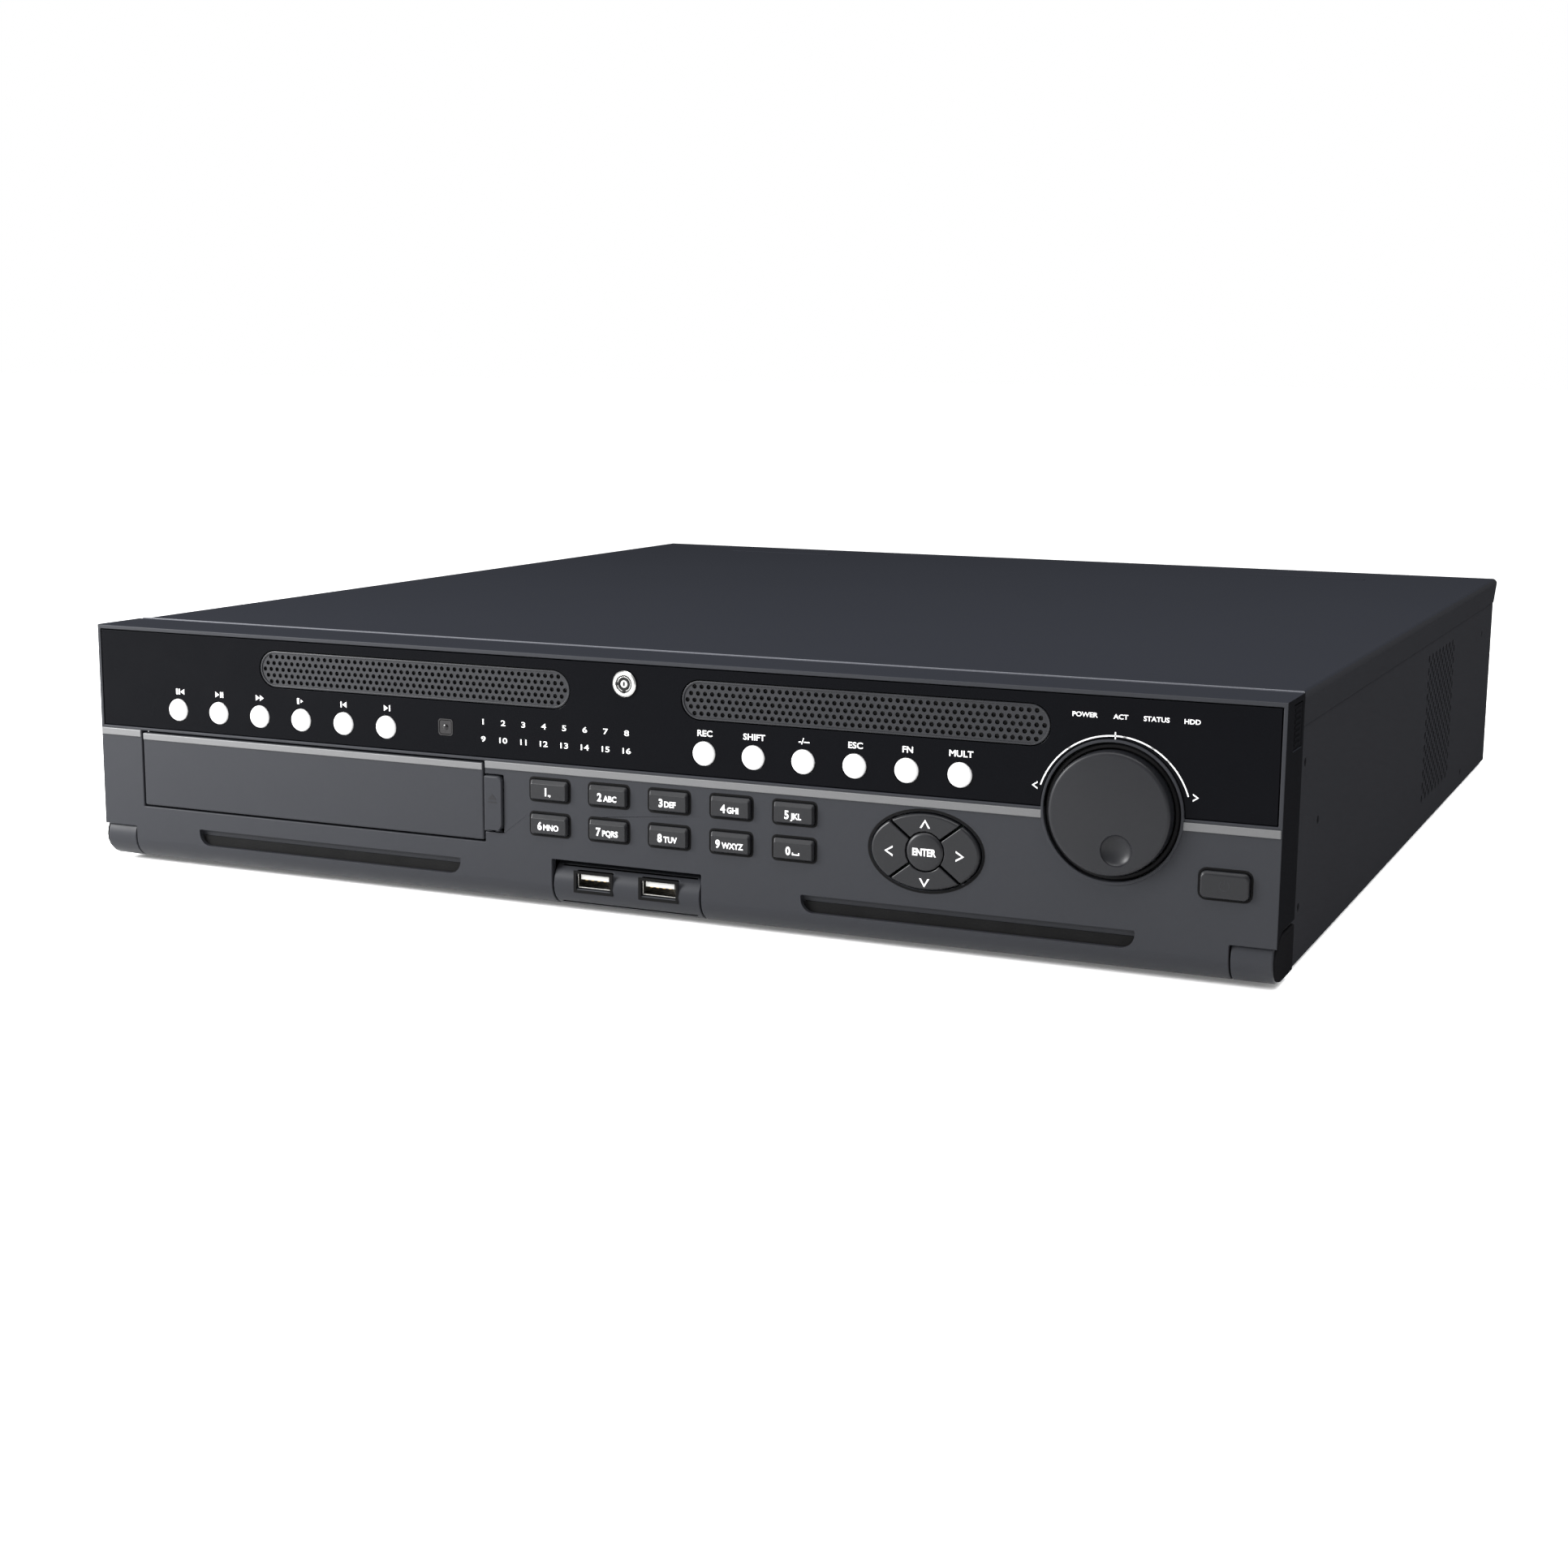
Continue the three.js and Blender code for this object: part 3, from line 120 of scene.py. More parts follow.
def finish(name, colour, roughness, grain, depth, drift=0.12, metallic=0.0, sheen=0.5):
    """A surface with its own grain: size and depth in millimetres, colour and gloss that drift."""
    material = bpy.data.materials.new(name)
    material.use_nodes = True
    tree = material.node_tree
    shader = tree.nodes["Principled BSDF"]
    place = Wire(tree, tree.nodes.new("ShaderNodeTexCoord").outputs["Object"])
    fine = place.node("ShaderNodeTexNoise", {}, {"Vector": place, "Scale": 1 / (grain * MM), "Detail": 3})
    broad = place.node("ShaderNodeTexNoise", {}, {"Vector": place, "Scale": 11, "Detail": 5})
    rubbed = place.node("ShaderNodeTexNoise", {}, {"Vector": place, "Scale": 90, "Detail": 6})
    mixed = place.node(
        "ShaderNodeMix",
        {"data_type": "RGBA"},
        {0: broad * 0.4 + fine * 0.6, 6: shaded(colour, 1 - drift), 7: shaded(colour, 1 + drift)},
        output=2,
    )
    relief = place.node(
        "ShaderNodeBump", {}, {"Height": fine, "Distance": depth * MM, "Strength": 0.6}
    )
    tree.links.new(mixed.socket, shader.inputs["Base Color"])
    gloss = (rubbed - 0.5) * 0.22 + (broad - 0.5) * 0.1 + roughness
    tree.links.new(gloss.socket, shader.inputs["Roughness"])
    tree.links.new(relief.socket, shader.inputs["Normal"])
    shader.inputs["Metallic"].default_value = metallic
    shader.inputs["Specular IOR Level"].default_value = sheen
    return material


paper = finish("seamless_paper", (0.9, 0.9, 0.9), 0.7, 2.0, 0.01, drift=0.01, sheen=0.0)
paper.node_tree.nodes["Principled BSDF"].inputs["Emission Color"].default_value = (1, 1, 1, 1)
paper.node_tree.nodes["Principled BSDF"].inputs["Emission Strength"].default_value = 0.14
floor_mesh.materials.append(paper)


def soft_box(name, place, aim, size, power):
    """A square light of that size in metres, turned to face a point."""
    lamp = bpy.data.lights.new(name, "AREA")
    lamp.shape = "RECTANGLE"
    lamp.size, lamp.size_y = size
    lamp.energy = power
    holder = bpy.data.objects.new(name, lamp)
    holder.location = place
    holder.rotation_euler = (Vector(aim) - Vector(place)).to_track_quat("-Z", "Y").to_euler()
    bpy.context.collection.objects.link(holder)


soft_box("key_box", (-0.85, -0.80, 0.45), (-0.2, -0.24, 0.05), (0.5, 0.4), 46)
soft_box("edge_box", (0.1, -0.55, 0.95), (0, -0.24, 0.05), (1.2, 0.25), 15)
soft_box("cover_box", (0.66, 0.2, 0.9), (0.2, 0.05, 0.09), (0.6, 0.6), 15)

# ---------------------------------------------------------------- base tray
# The floor and side walls of the case, folded up from zinc-coated steel sheet.
# Powder coated black-blue; the side walls are punched for air and for rack-ear screws.
AIR_PITCH = 5.2
AIR_RADIUS = 1.8
AIR_COLUMNS = 16
AIR_ROWS = 12
AIR_START = (40, 14)
EAR_HOLES = [(-203, 66), (-178, 43.5), (-203, 20), (196, 66), (150, 8)]
EAR_HOLE_RADIUS = 1.5
case_paint = finish("case_powder_coat", (0.0105, 0.0107, 0.012), 0.55, 0.55, 0.03, drift=0.08, sheen=0.0)


def merged_copy(node):
    """The CAD node's mesh as a bmesh with its loose triangles joined and its flats cleaned."""
    form = bmesh.new()
    form.from_mesh(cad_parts[node].data)
    bmesh.ops.remove_doubles(form, verts=form.verts, dist=0.02 * MM)
    bmesh.ops.dissolve_limit(
        form, angle_limit=math.radians(0.4), verts=form.verts, edges=form.edges
    )
    return form


def finished(name, form, material, body, replaced=(), smooth=40):
    """Turns a bmesh into a named piece that rides on a body and takes a finish."""
    mesh = bpy.data.meshes.new(name)
    bmesh.ops.remove_doubles(form, verts=form.verts, dist=0.001 * MM)
    form.to_mesh(mesh)
    form.free()
    if "custom_normal" in mesh.attributes:
        mesh.attributes.remove(mesh.attributes["custom_normal"])
    mesh.shade_smooth()
    mesh.set_sharp_from_angle(angle=math.radians(smooth))
    mesh.materials.clear()
    mesh.materials.append(material)
    piece = bpy.data.objects.new(name, mesh)
    bpy.context.collection.objects.link(piece)
    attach(piece, body)
    if replaced:
        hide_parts(*replaced)
    return piece


def rounded_edges(piece, width, segments=2, angle=35):
    """Small bends or moulding radii on the piece's corners, in millimetres, with flat faces kept flat."""
    bevel = piece.modifiers.new("edges", "BEVEL")
    bevel.width = width * MM
    bevel.segments = segments
    bevel.limit_method = "ANGLE"
    bevel.angle_limit = math.radians(angle)
    bevel.use_clamp_overlap = False
    bevel.miter_outer = "MITER_ARC"
    flat = piece.modifiers.new("flats", "WEIGHTED_NORMAL")
    flat.keep_sharp = True
    return piece


def punched(form, cutters):
    """The form with closed cutters taken out of it."""
    meshes = []
    for part in (form, cutters):
        bmesh.ops.recalc_face_normals(part, faces=part.faces)
        mesh = bpy.data.meshes.new("punching")
        part.to_mesh(mesh)
        part.free()
        meshes.append(mesh)
    sheet, dies = [bpy.data.objects.new("punching", mesh) for mesh in meshes]
    for holder in (sheet, dies):
        bpy.context.collection.objects.link(holder)
    cut = sheet.modifiers.new("punch", "BOOLEAN")
    cut.object = dies
    cut.solver = "EXACT"
    result = bmesh.new()
    result.from_object(sheet, bpy.context.evaluated_depsgraph_get())
    for holder in (sheet, dies):
        bpy.data.objects.remove(holder)
    for mesh in meshes:
        bpy.data.meshes.remove(mesh)
    return result


def post(form, place, radius, length, axis, sides=8):
    """Adds a closed round bar centred on a point and lying along X, Y or Z."""
    turn = {"X": Matrix.Rotation(math.pi / 2, 4, "Y"), "Y": Matrix.Rotation(math.pi / 2, 4, "X")}
    bmesh.ops.create_cone(
        form,
        cap_ends=True,
        segments=sides,
        radius1=radius * MM,
        radius2=radius * MM,
        depth=length * MM,
        matrix=Matrix.Translation(Vector(place) * MM) @ turn.get(axis, Matrix.Identity(4)),
    )


def span(node):
    """The two corners of a CAD node's box, in millimetres."""
    return [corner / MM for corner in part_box(node)]


tray_low, tray_high = span("base_tray")
side_dies = bmesh.new()
for side_x in (tray_low.x, tray_high.x):
    for column in range(AIR_COLUMNS):
        for row in range(AIR_ROWS - column % 2):
            air_y = AIR_START[0] + column * AIR_PITCH * math.sqrt(3) / 2
            air_z = AIR_START[1] + (row + column % 2 / 2) * AIR_PITCH
            post(side_dies, (side_x, air_y, air_z), AIR_RADIUS, 6, "X")
    for hole_y, hole_z in EAR_HOLES:
        post(side_dies, (side_x, hole_y, hole_z), EAR_HOLE_RADIUS, 6, "X", 12)
finished(
    "case_tray", punched(merged_copy("base_tray"), side_dies), case_paint, "chassis",
    ["base_tray"],
)

# ---------------------------------------------------------------- feet
# Four short pads of black rubber, pressed into holes in the tray floor.
# Each is a low disc with a rounded lower rim and a dished sole.
foot_rubber = finish("foot_rubber", (0.012, 0.012, 0.012), 0.8, 0.4, 0.05)


def turned(form, profile, centre, axis=(0, 1, 0), steps=40):
    """Spins a profile of radius and height, in millimetres, about an axis through a point."""
    direction = Vector(axis)
    side = Vector((1, 0, 0)) if abs(direction.x) < 0.5 else Vector((0, 1, 0))
    points = [
        form.verts.new((Vector(centre) + side * radius + direction * height) * MM)
        for radius, height in profile
    ]
    lines = [form.edges.new(pair) for pair in zip(points, points[1:])]
    bmesh.ops.spin(
        form,
        geom=points + lines,
        cent=Vector(centre) * MM,
        axis=direction,
        angle=2 * math.pi,
        steps=steps,
        use_merge=True,
        use_duplicate=False,
    )


def closed(form):
    """Merges the seams and poles of turned work and points its faces outwards."""
    bmesh.ops.remove_doubles(form, verts=form.verts, dist=0.002 * MM)
    bmesh.ops.dissolve_degenerate(form, dist=0.001 * MM, edges=form.edges)
    bmesh.ops.recalc_face_normals(form, faces=form.faces)
    return form


FOOT_PROFILE = [(0, 0.5), (5, 0.3), (6, 0), (7.8, 0), (8.6, 0.25), (9, 0.9), (9, 1.7), (0, 1.7)]
for corner in ("front_left", "front_right", "rear_left", "rear_right"):
    foot_low, foot_high = span("foot_" + corner)
    foot_centre = (foot_low + foot_high) / 2
    foot = bmesh.new()
    turned(foot, FOOT_PROFILE, (foot_centre.x, foot_centre.y, 0), (0, 0, 1))
    finished("foot_pad_" + corner, closed(foot), foot_rubber, "chassis", ["foot_" + corner])

# ---------------------------------------------------------------- front bulkhead
# The upright sheet behind the door that closes the case and carries the drives.
# Same powder coat as the tray, with a slot for the disc tray and one for the lock's cam.
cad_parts["front_bulkhead"].data.materials.clear()
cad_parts["front_bulkhead"].data.materials.append(case_paint)

# ---------------------------------------------------------------- rear panel
# Punched steel sheet screwed between the tray walls, painted with the case.
# Its holes frame the jack block, the port block, the mains inlet and the fan.
PANEL_SCREWS = [(-210, 80), (-70, 80), (70, 80), (210, 80), (-210, 8), (70, 8), (210, 8)]
GUARD_CENTRE = (93, 46)
GUARD_RINGS = [8, 14, 20, 26]
GUARD_WIRE = 0.8
SPOKE_LENGTH = 26
SPOKE_MIDDLE = 21
GUARD_SCREW_PLACE = 35
panel_paint = finish("rear_panel_coat", (0.014, 0.0145, 0.017), 0.5, 0.55, 0.03, sheen=0.1)
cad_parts["rear_panel"].data.materials.clear()
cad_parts["rear_panel"].data.materials.append(panel_paint)
screw_steel = finish("screw_steel", (0.20, 0.20, 0.205), 0.35, 0.3, 0.01, metallic=1.0)
SCREW_PROFILE = [(0, 0.5), (0.9, 0.5), (1.0, 0.95), (2.0, 0.8), (2.6, 0.35), (2.7, 0), (0, 0)]
panel_back = span("rear_panel")[1].y
panel_screws = bmesh.new()
for screw_x, screw_z in PANEL_SCREWS:
    turned(panel_screws, SCREW_PROFILE, (screw_x, panel_back, screw_z), steps=16)
finished("rear_panel_screws", closed(panel_screws), screw_steel, "chassis")


def guard_point(radius, lean, proud):
    """A point on the fan guard, at a radius and a direction from its centre."""
    return Vector(
        (
            GUARD_CENTRE[0] + radius * math.cos(lean),
            panel_back + proud,
            GUARD_CENTRE[1] + radius * math.sin(lean),
        )
    )


guard = bmesh.new()
for ring_radius in GUARD_RINGS:
    rim = [
        (ring_radius + GUARD_WIRE * math.cos(turn), GUARD_WIRE * math.sin(turn))
        for turn in [step * math.pi / 4 for step in range(9)]
    ]
    turned(guard, rim, guard_point(0, 0, 2 * GUARD_WIRE), steps=36)
for quarter in range(4):
    lean = math.radians(45 + 90 * quarter)
    bmesh.ops.create_cone(
        guard,
        cap_ends=True,
        segments=8,
        radius1=GUARD_WIRE * MM,
        radius2=GUARD_WIRE * MM,
        depth=SPOKE_LENGTH * MM,
        matrix=Matrix.Translation(guard_point(SPOKE_MIDDLE, lean, GUARD_WIRE) * MM)
        @ Matrix.Rotation(math.pi / 2 - lean, 4, "Y"),
    )
    turned(guard, SCREW_PROFILE, guard_point(GUARD_SCREW_PLACE, lean, 0), steps=16)
finished("fan_guard", closed(guard), screw_steel, "chassis")

# ---------------------------------------------------------------- main board
# Green glass-epoxy board on short pillars, reaching through the rear panel with its sockets.
# It carries chips, capacitors, the sixteen video jacks and the block of data sockets.
CHIPS = [(-150, 150, 28, 28, 2.2), (-90, 150, 28, 28, 2.2), (-30, 120, 36, 36, 9), (-160, 95, 17, 12, 1.4)]
CHIPS += [(-130, 95, 17, 12, 1.4), (-100, 95, 17, 12, 1.4), (20, 170, 14, 14, 1.2), (-190, 180, 12, 18, 2.4)]
CAPACITORS = [(40, 60), (40, 74), (40, 88), (22, 60), (-205, 120), (-205, 134)]
JACK_ROWS = (24, 43)
JACK_PITCH = 19
JACK_MIDDLE = -130
board_green = finish("solder_resist", (0.004, 0.024, 0.011), 0.4, 1.2, 0.03, drift=0.3, sheen=0.2)
chip_black = finish("chip_epoxy", (0.012, 0.012, 0.013), 0.55, 0.5, 0.02)
socket_black = finish("socket_plastic", (0.010, 0.010, 0.011), 0.45, 0.5, 0.015)
nickel = finish("nickel_plate", (0.24, 0.236, 0.225), 0.22, 0.5, 0.01, drift=0.08, metallic=1.0)
gold = finish("gilded_contact", (0.40, 0.27, 0.10), 0.25, 0.5, 0.01, drift=0.08, metallic=1.0)


def block(form, low, high):
    """Adds a closed box between two corners, in millimetres."""
    low, high = Vector(low) * MM, Vector(high) * MM
    size = Matrix.Diagonal((high - low).to_4d())
    size[3][3] = 1
    bmesh.ops.create_cube(form, size=1, matrix=Matrix.Translation((low + high) / 2) @ size)


board_low, board_high = span("main_board")
board_top = board_low.z + 1.6
board = bmesh.new()
block(board, board_low, (board_high.x, panel_back - 1.8, board_top))
rounded_edges(
    finished("circuit_board", board, board_green, "chassis", ["main_board"]), 0.15
)
chips = bmesh.new()
for chip_x, chip_y, chip_w, chip_d, chip_h in CHIPS:
    block(
        chips,
        (chip_x - chip_w / 2, chip_y - chip_d / 2, board_top),
        (chip_x + chip_w / 2, chip_y + chip_d / 2, board_top + chip_h),
    )
rounded_edges(finished("board_chips", chips, chip_black, "chassis"), 0.3)
capacitors = bmesh.new()
for can_x, can_y in CAPACITORS:
    turned(
        capacitors,
        [(0, 11), (3.2, 11), (3.6, 10.6), (4, 10), (4, 1.6), (3.6, 1.2), (4, 0.8), (4, 0), (0, 0)],
        (can_x, can_y, board_top),
        (0, 0, 1),
        20,
    )
finished("board_capacitors", closed(capacitors), nickel, "chassis")
sockets = bmesh.new()
block(sockets, (-207.5, panel_back - 16, board_top), (-52.5, panel_back + 0.2, board_high.z - 0.5))
block(sockets, (-41.5, panel_back - 22, board_top), (-36.2, panel_back + 0.4, 35.5))
block(sockets, (-23.8, panel_back - 22, board_top), (55.5, panel_back + 0.4, 35.5))
block(sockets, (-36.3, panel_back - 22, board_top), (-23.7, panel_back - 12.5, 35.5))
block(sockets, (-36.3, panel_back - 13, board_top), (-23.7, panel_back + 0.4, 15.8))
block(sockets, (-36.3, panel_back - 13, 25.2), (-23.7, panel_back + 0.4, 35.5))
rounded_edges(finished("socket_housings", sockets, socket_black, "chassis"), 0.3)
jack_shells = bmesh.new()
jack_cores = bmesh.new()
jack_pins = bmesh.new()
JACK_SHELL = [(3.9, 0), (6.6, 0), (6.6, 1.6), (4.8, 1.6), (4.8, 11.6)]
JACK_SHELL += [(4.5, 12), (4.0, 12), (3.9, 11.6), (3.9, 0)]
for jack_z in JACK_ROWS:
    for column in range(8):
        jack = (JACK_MIDDLE + (column - 3.5) * JACK_PITCH, panel_back, jack_z)
        turned(jack_shells, JACK_SHELL, jack, steps=24)
        turned(jack_cores, [(1.0, 0), (3.5, 0), (3.5, 7), (1.0, 7), (1.0, 0)], jack, steps=16)
        turned(jack_pins, [(0, 9.5), (0.6, 9), (0.6, 0), (0, 0)], jack, steps=10)
        for lug in (-1, 1):
            post(jack_shells, (jack[0] + lug * 4.9, panel_back + 8.2, jack_z), 0.9, 1.6, "X", 10)
finished("jack_shells", closed(jack_shells), nickel, "chassis")
teflon = finish("jack_insulator", (0.38, 0.375, 0.35), 0.5, 0.5, 0.01, drift=0.04)
finished("jack_insulators", closed(jack_cores), teflon, "chassis")
finished("jack_pins", closed(jack_pins), gold, "chassis")


def surround(form, x, z, wide, high, wall, start, end):
    """Adds a square frame round a socket mouth, between two depths."""
    for low_x, low_z, high_x, high_z in (
        (x - wide / 2, z - high / 2, x + wide / 2, z - high / 2 + wall),
        (x - wide / 2, z + high / 2 - wall, x + wide / 2, z + high / 2),
        (x - wide / 2, z - high / 2 + wall, x - wide / 2 + wall, z + high / 2 - wall),
        (x + wide / 2 - wall, z - high / 2 + wall, x + wide / 2, z + high / 2 - wall),
    ):
        block(form, (low_x, start, low_z), (high_x, end, high_z))


port_metal = bmesh.new()
surround(port_metal, -30, 20.5, 13.6, 10.4, 0.8, panel_back, panel_back + 0.9)
surround(port_metal, -10, 19, 15, 6, 0.7, panel_back, panel_back + 1.2)
surround(port_metal, -10, 28.5, 15, 6, 0.7, panel_back, panel_back + 1.2)
surround(port_metal, 14, 24, 24, 11, 0.9, panel_back, panel_back + 2.0)
for nut_x in (0.6, 27.4):
    turned(port_metal, [(0, 3.4), (2.3, 3.4), (2.5, 3.1), (2.5, 0), (0, 0)], (nut_x, panel_back, 24), steps=6)
for ring_z, ring_x in ((20, 37), (30, 37), (20, 49), (30, 49)):
    turned(
        port_metal,
        [(1.9, 0), (4.4, 0), (4.4, 1), (3.0, 1), (3.0, 5.6), (2.8, 6), (1.9, 6), (1.9, 0)],
        (ring_x, panel_back, ring_z),
        steps=20,
    )
finished("port_metalwork", closed(port_metal), nickel, "chassis")

# ---------------------------------------------------------------- power supply
# A closed can of zinc-plated steel that holds the mains converter, screwed to the tray floor.
# Its appliance inlet shows through the rear panel, with three flat pins.
ZINC_BEND = 0.4
galvanised = finish("zinc_plate", (0.22, 0.226, 0.23), 0.38, 3.0, 0.02, drift=0.2, metallic=0.9)


def dressed(name, node, material, body, bend, segments=2, angle=35):
    """The CAD node's own shape as a finished piece, with its corners bent or moulded."""
    piece = finished(name, merged_copy(node), material, body, [node])
    return rounded_edges(piece, bend, segments, angle)


dressed("power_can", "power_supply", galvanised, "chassis", ZINC_BEND)
inlet = bmesh.new()
INLET = (177, 24.7)
surround(inlet, INLET[0], INLET[1], 29, 21, 2.4, panel_back, panel_back + 1.6)
rounded_edges(finished("mains_inlet_rim", inlet, socket_black, "chassis"), 0.5)

# ---------------------------------------------------------------- cooling fan
# A square black fan of glass-filled plastic behind the rear panel, blowing out.
# Its wheel of seven blades turns on the hub in the middle of the frame.
fan_black = finish("fan_plastic", (0.014, 0.014, 0.015), 0.42, 0.7, 0.02)
dressed("fan_housing", "fan_frame", fan_black, "chassis", 0.3)
wheel_black = finish("fan_wheel_plastic", (0.02, 0.02, 0.022), 0.35, 0.7, 0.02)
dressed("fan_wheel_blades", "fan_rotor", wheel_black, "fan_wheel", 0.2)
hub_label = bmesh.new()
hub_place = (GUARD_CENTRE[0], span("fan_rotor")[1].y, GUARD_CENTRE[1])
turned(hub_label, [(0, 0.3), (9.8, 0.3), (10, 0), (0, 0)], hub_place)
finished("fan_hub_cap", closed(hub_label), galvanised, "fan_wheel")

# ---------------------------------------------------------------- hard drive
# A 3.5 inch drive: a cast body with a pressed lid, six screws and a round bearing boss.
# It is screwed to the tray floor behind the bulkhead.
cast_metal = finish("cast_aluminium", (0.30, 0.30, 0.31), 0.5, 0.9, 0.05, drift=0.15, metallic=0.85)
drive_low, drive_high = span("hard_drive")
dressed("hard_drive_body", "hard_drive", cast_metal, "chassis", 0.6)
drive_lid = bmesh.new()
block(
    drive_lid,
    (drive_low.x + 3, drive_low.y + 4, drive_high.z - 0.1),
    (drive_high.x - 3, drive_high.y - 4, drive_high.z + 0.7),
)
rounded_edges(finished("hard_drive_lid", drive_lid, galvanised, "chassis"), 0.5, 3)
drive_screws = bmesh.new()
for screw_x in (drive_low.x + 8, drive_high.x - 8):
    for screw_y in (drive_low.y + 9, (drive_low.y + drive_high.y) / 2, drive_high.y - 9):
        turned(drive_screws, SCREW_PROFILE, (screw_x, screw_y, drive_high.z + 0.7), (0, 0, 1), 14)
turned(
    drive_screws,
    [(0, 1.0), (13, 1.0), (14, 0.6), (14.5, 0), (0, 0)],
    ((drive_low.x + drive_high.x) / 2, drive_low.y + 50, drive_high.z + 0.7),
    (0, 0, 1),
)
finished("hard_drive_screws", closed(drive_screws), screw_steel, "chassis")

# ---------------------------------------------------------------- disc drive and its tray
# A half-height disc drive in a folded steel can, with a tray of charcoal plastic.
# The tray carries the painted flap that closes the opening in the door.
FLAP_STRIP_HEIGHT = 2.4
dressed("disc_drive_can", "optical_drive", galvanised, "chassis", ZINC_BEND)
tray_plastic = finish("tray_plastic", (0.014, 0.0145, 0.016), 0.5, 0.6, 0.02)
dressed("disc_tray_plate", "disc_tray", tray_plastic, "disc_drawer", 0.5)
panel_grey = finish("door_paint_grey", (0.0122, 0.0128, 0.0149), 0.45, 0.42, 0.016, drift=0.06, sheen=0.07)
dressed("disc_flap_panel", "disc_flap", panel_grey, "disc_drawer", 0.25)
silver_paint = finish("silver_strip", (0.066, 0.0665, 0.068), 0.5, 0.5, 0.01, drift=0.08, metallic=0.75)


def strip(name, low_x, high_x, top, front, tall, body):
    """A thin silver moulding with a chamfered lower edge."""
    form = bmesh.new()
    block(form, (low_x, front, top - tall), (high_x, front + 1.2, top))
    piece = finished(name, form, silver_paint, body)
    return rounded_edges(piece, 0.22)


flap_low, flap_high = span("disc_flap")
strip(
    "flap_strip", flap_low.x + 0.3, flap_high.x - 0.3, flap_high.z - 0.25, flap_low.y - 0.35,
    FLAP_STRIP_HEIGHT, "disc_drawer",
)

# ---------------------------------------------------------------- memory-stick module
# A grey plastic block fixed to the tray in the middle of the door's lower edge.
# Two plated sockets show through it, each with its white tongue and gilded contacts.
USB_PLACES = (-12.4, 12.4)
USB_Z = 12.2
MOUTH_SHADE_SIZE = (15.0, 7.6)
dressed("stick_module", "usb_module", panel_grey, "chassis", 0.3)
dressed("stick_sockets", "usb_board", nickel, "chassis", 0.12)
socket_front = span("usb_module")[0].y
tongue_white = finish("socket_tongue", (0.30, 0.30, 0.29), 0.45, 0.4, 0.01, drift=0.03, sheen=0.2)
tongues = bmesh.new()
contacts = bmesh.new()
for socket_x in USB_PLACES:
    block(
        tongues,
        (socket_x - 5.4, socket_front + 1.4, USB_Z + 0.1),
        (socket_x + 5.4, socket_front + 10, USB_Z + 1.9),
    )
    for contact in (-3.5, -1.2, 1.2, 3.5):
        block(
            contacts,
            (socket_x + contact - 0.5, socket_front + 2, USB_Z - 0.15),
            (socket_x + contact + 0.5, socket_front + 9, USB_Z + 0.15),
        )
# Painted shade: a near-black frame at each socket mouth stands for the shade in the plug hole round the metal
# shell.
mouth_shades = bmesh.new()
for socket_x in USB_PLACES:
    surround(
        mouth_shades, socket_x, USB_Z - 0.6, *MOUTH_SHADE_SIZE, 1.0, socket_front - 0.03, socket_front + 0.4
    )
mouth_shade_black = finish("socket_mouth_shade", (0.0012, 0.0012, 0.0013), 0.7, 0.4, 0.01, sheen=0.05)
finished("socket_mouth_shades", mouth_shades, mouth_shade_black, "chassis")
rounded_edges(finished("socket_tongues", tongues, tongue_white, "chassis"), 0.15)
finished("socket_contacts", contacts, gold, "chassis")

# ---------------------------------------------------------------- hinge knuckles
# Round-fronted end blocks screwed to the tray; the door turns on their pins.
# Grey plastic, painted with the door, each closed by a thin glossy end cap.
BODY_END = 219


def second_finish(piece, material, chosen):
    """Gives another finish to the faces that a test of centre and normal picks."""
    piece.data.materials.append(material)
    for face in piece.data.polygons:
        if chosen(face.center / MM, face.normal):
            face.material_index = len(piece.data.materials) - 1


knuckle_black = finish("knuckle_end_cap", (0.004, 0.004, 0.0044), 0.3, 0.5, 0.006, drift=0.06, sheen=0.0)
for end in ("left", "right"):
    knuckle = dressed(
        "knuckle_block_" + end, "hinge_knuckle_" + end, panel_grey, "chassis", 0.3
    )
    second_finish(knuckle, knuckle_black, lambda centre, normal: abs(centre.x) > BODY_END)

# ---------------------------------------------------------------- top cover
# One sheet of steel folded down along both sides, slid on from the back.
# Powder coated blue-grey; two short ribs are pressed into it near the rear edge.
RIB_PLACES = ((-139, 198), (137, 192))
RIB_LENGTH = 55
cover_paint = finish("cover_powder_coat", (0.0105, 0.0112, 0.0137), 0.55, 0.6, 0.03, drift=0.06, sheen=0.0)
cover_piece = dressed("cover_sheet", "top_cover", cover_paint, "chassis", 0.25, angle=50)
# Painted shade: the cover's folded side faces take the tray's darker coat instead of the cover's own.
second_finish(cover_piece, case_paint, lambda centre, normal: abs(normal.x) > 0.5)
cover_low, cover_high = span("top_cover")
cover_top = cover_high.z
# Painted highlight: a lighter strip along the cover's front edge stands for the light caught on its bend.
cover_edge_highlight = finish("cover_front_painted_highlight", (0.05, 0.052, 0.06), 0.45, 0.5, 0.02, drift=0.5, sheen=0.2)
front_highlight = bmesh.new()
block(
    front_highlight,
    (cover_low.x + 0.6, cover_low.y, cover_top - 0.3),
    (cover_high.x - 0.6, cover_low.y + 0.6, cover_top + 0.3),
)
rounded_edges(finished("cover_front_highlight_strip", front_highlight, cover_edge_highlight, "chassis"), 0.15)
ribs = bmesh.new()
for rib_x, rib_y in RIB_PLACES:
    block(
        ribs,
        (rib_x - RIB_LENGTH / 2, rib_y - 1.1, cover_top - 0.2),
        (rib_x + RIB_LENGTH / 2, rib_y + 1.1, cover_top + 0.35),
    )
rounded_edges(finished("cover_ribs", ribs, cover_paint, "chassis"), 0.3, 3)

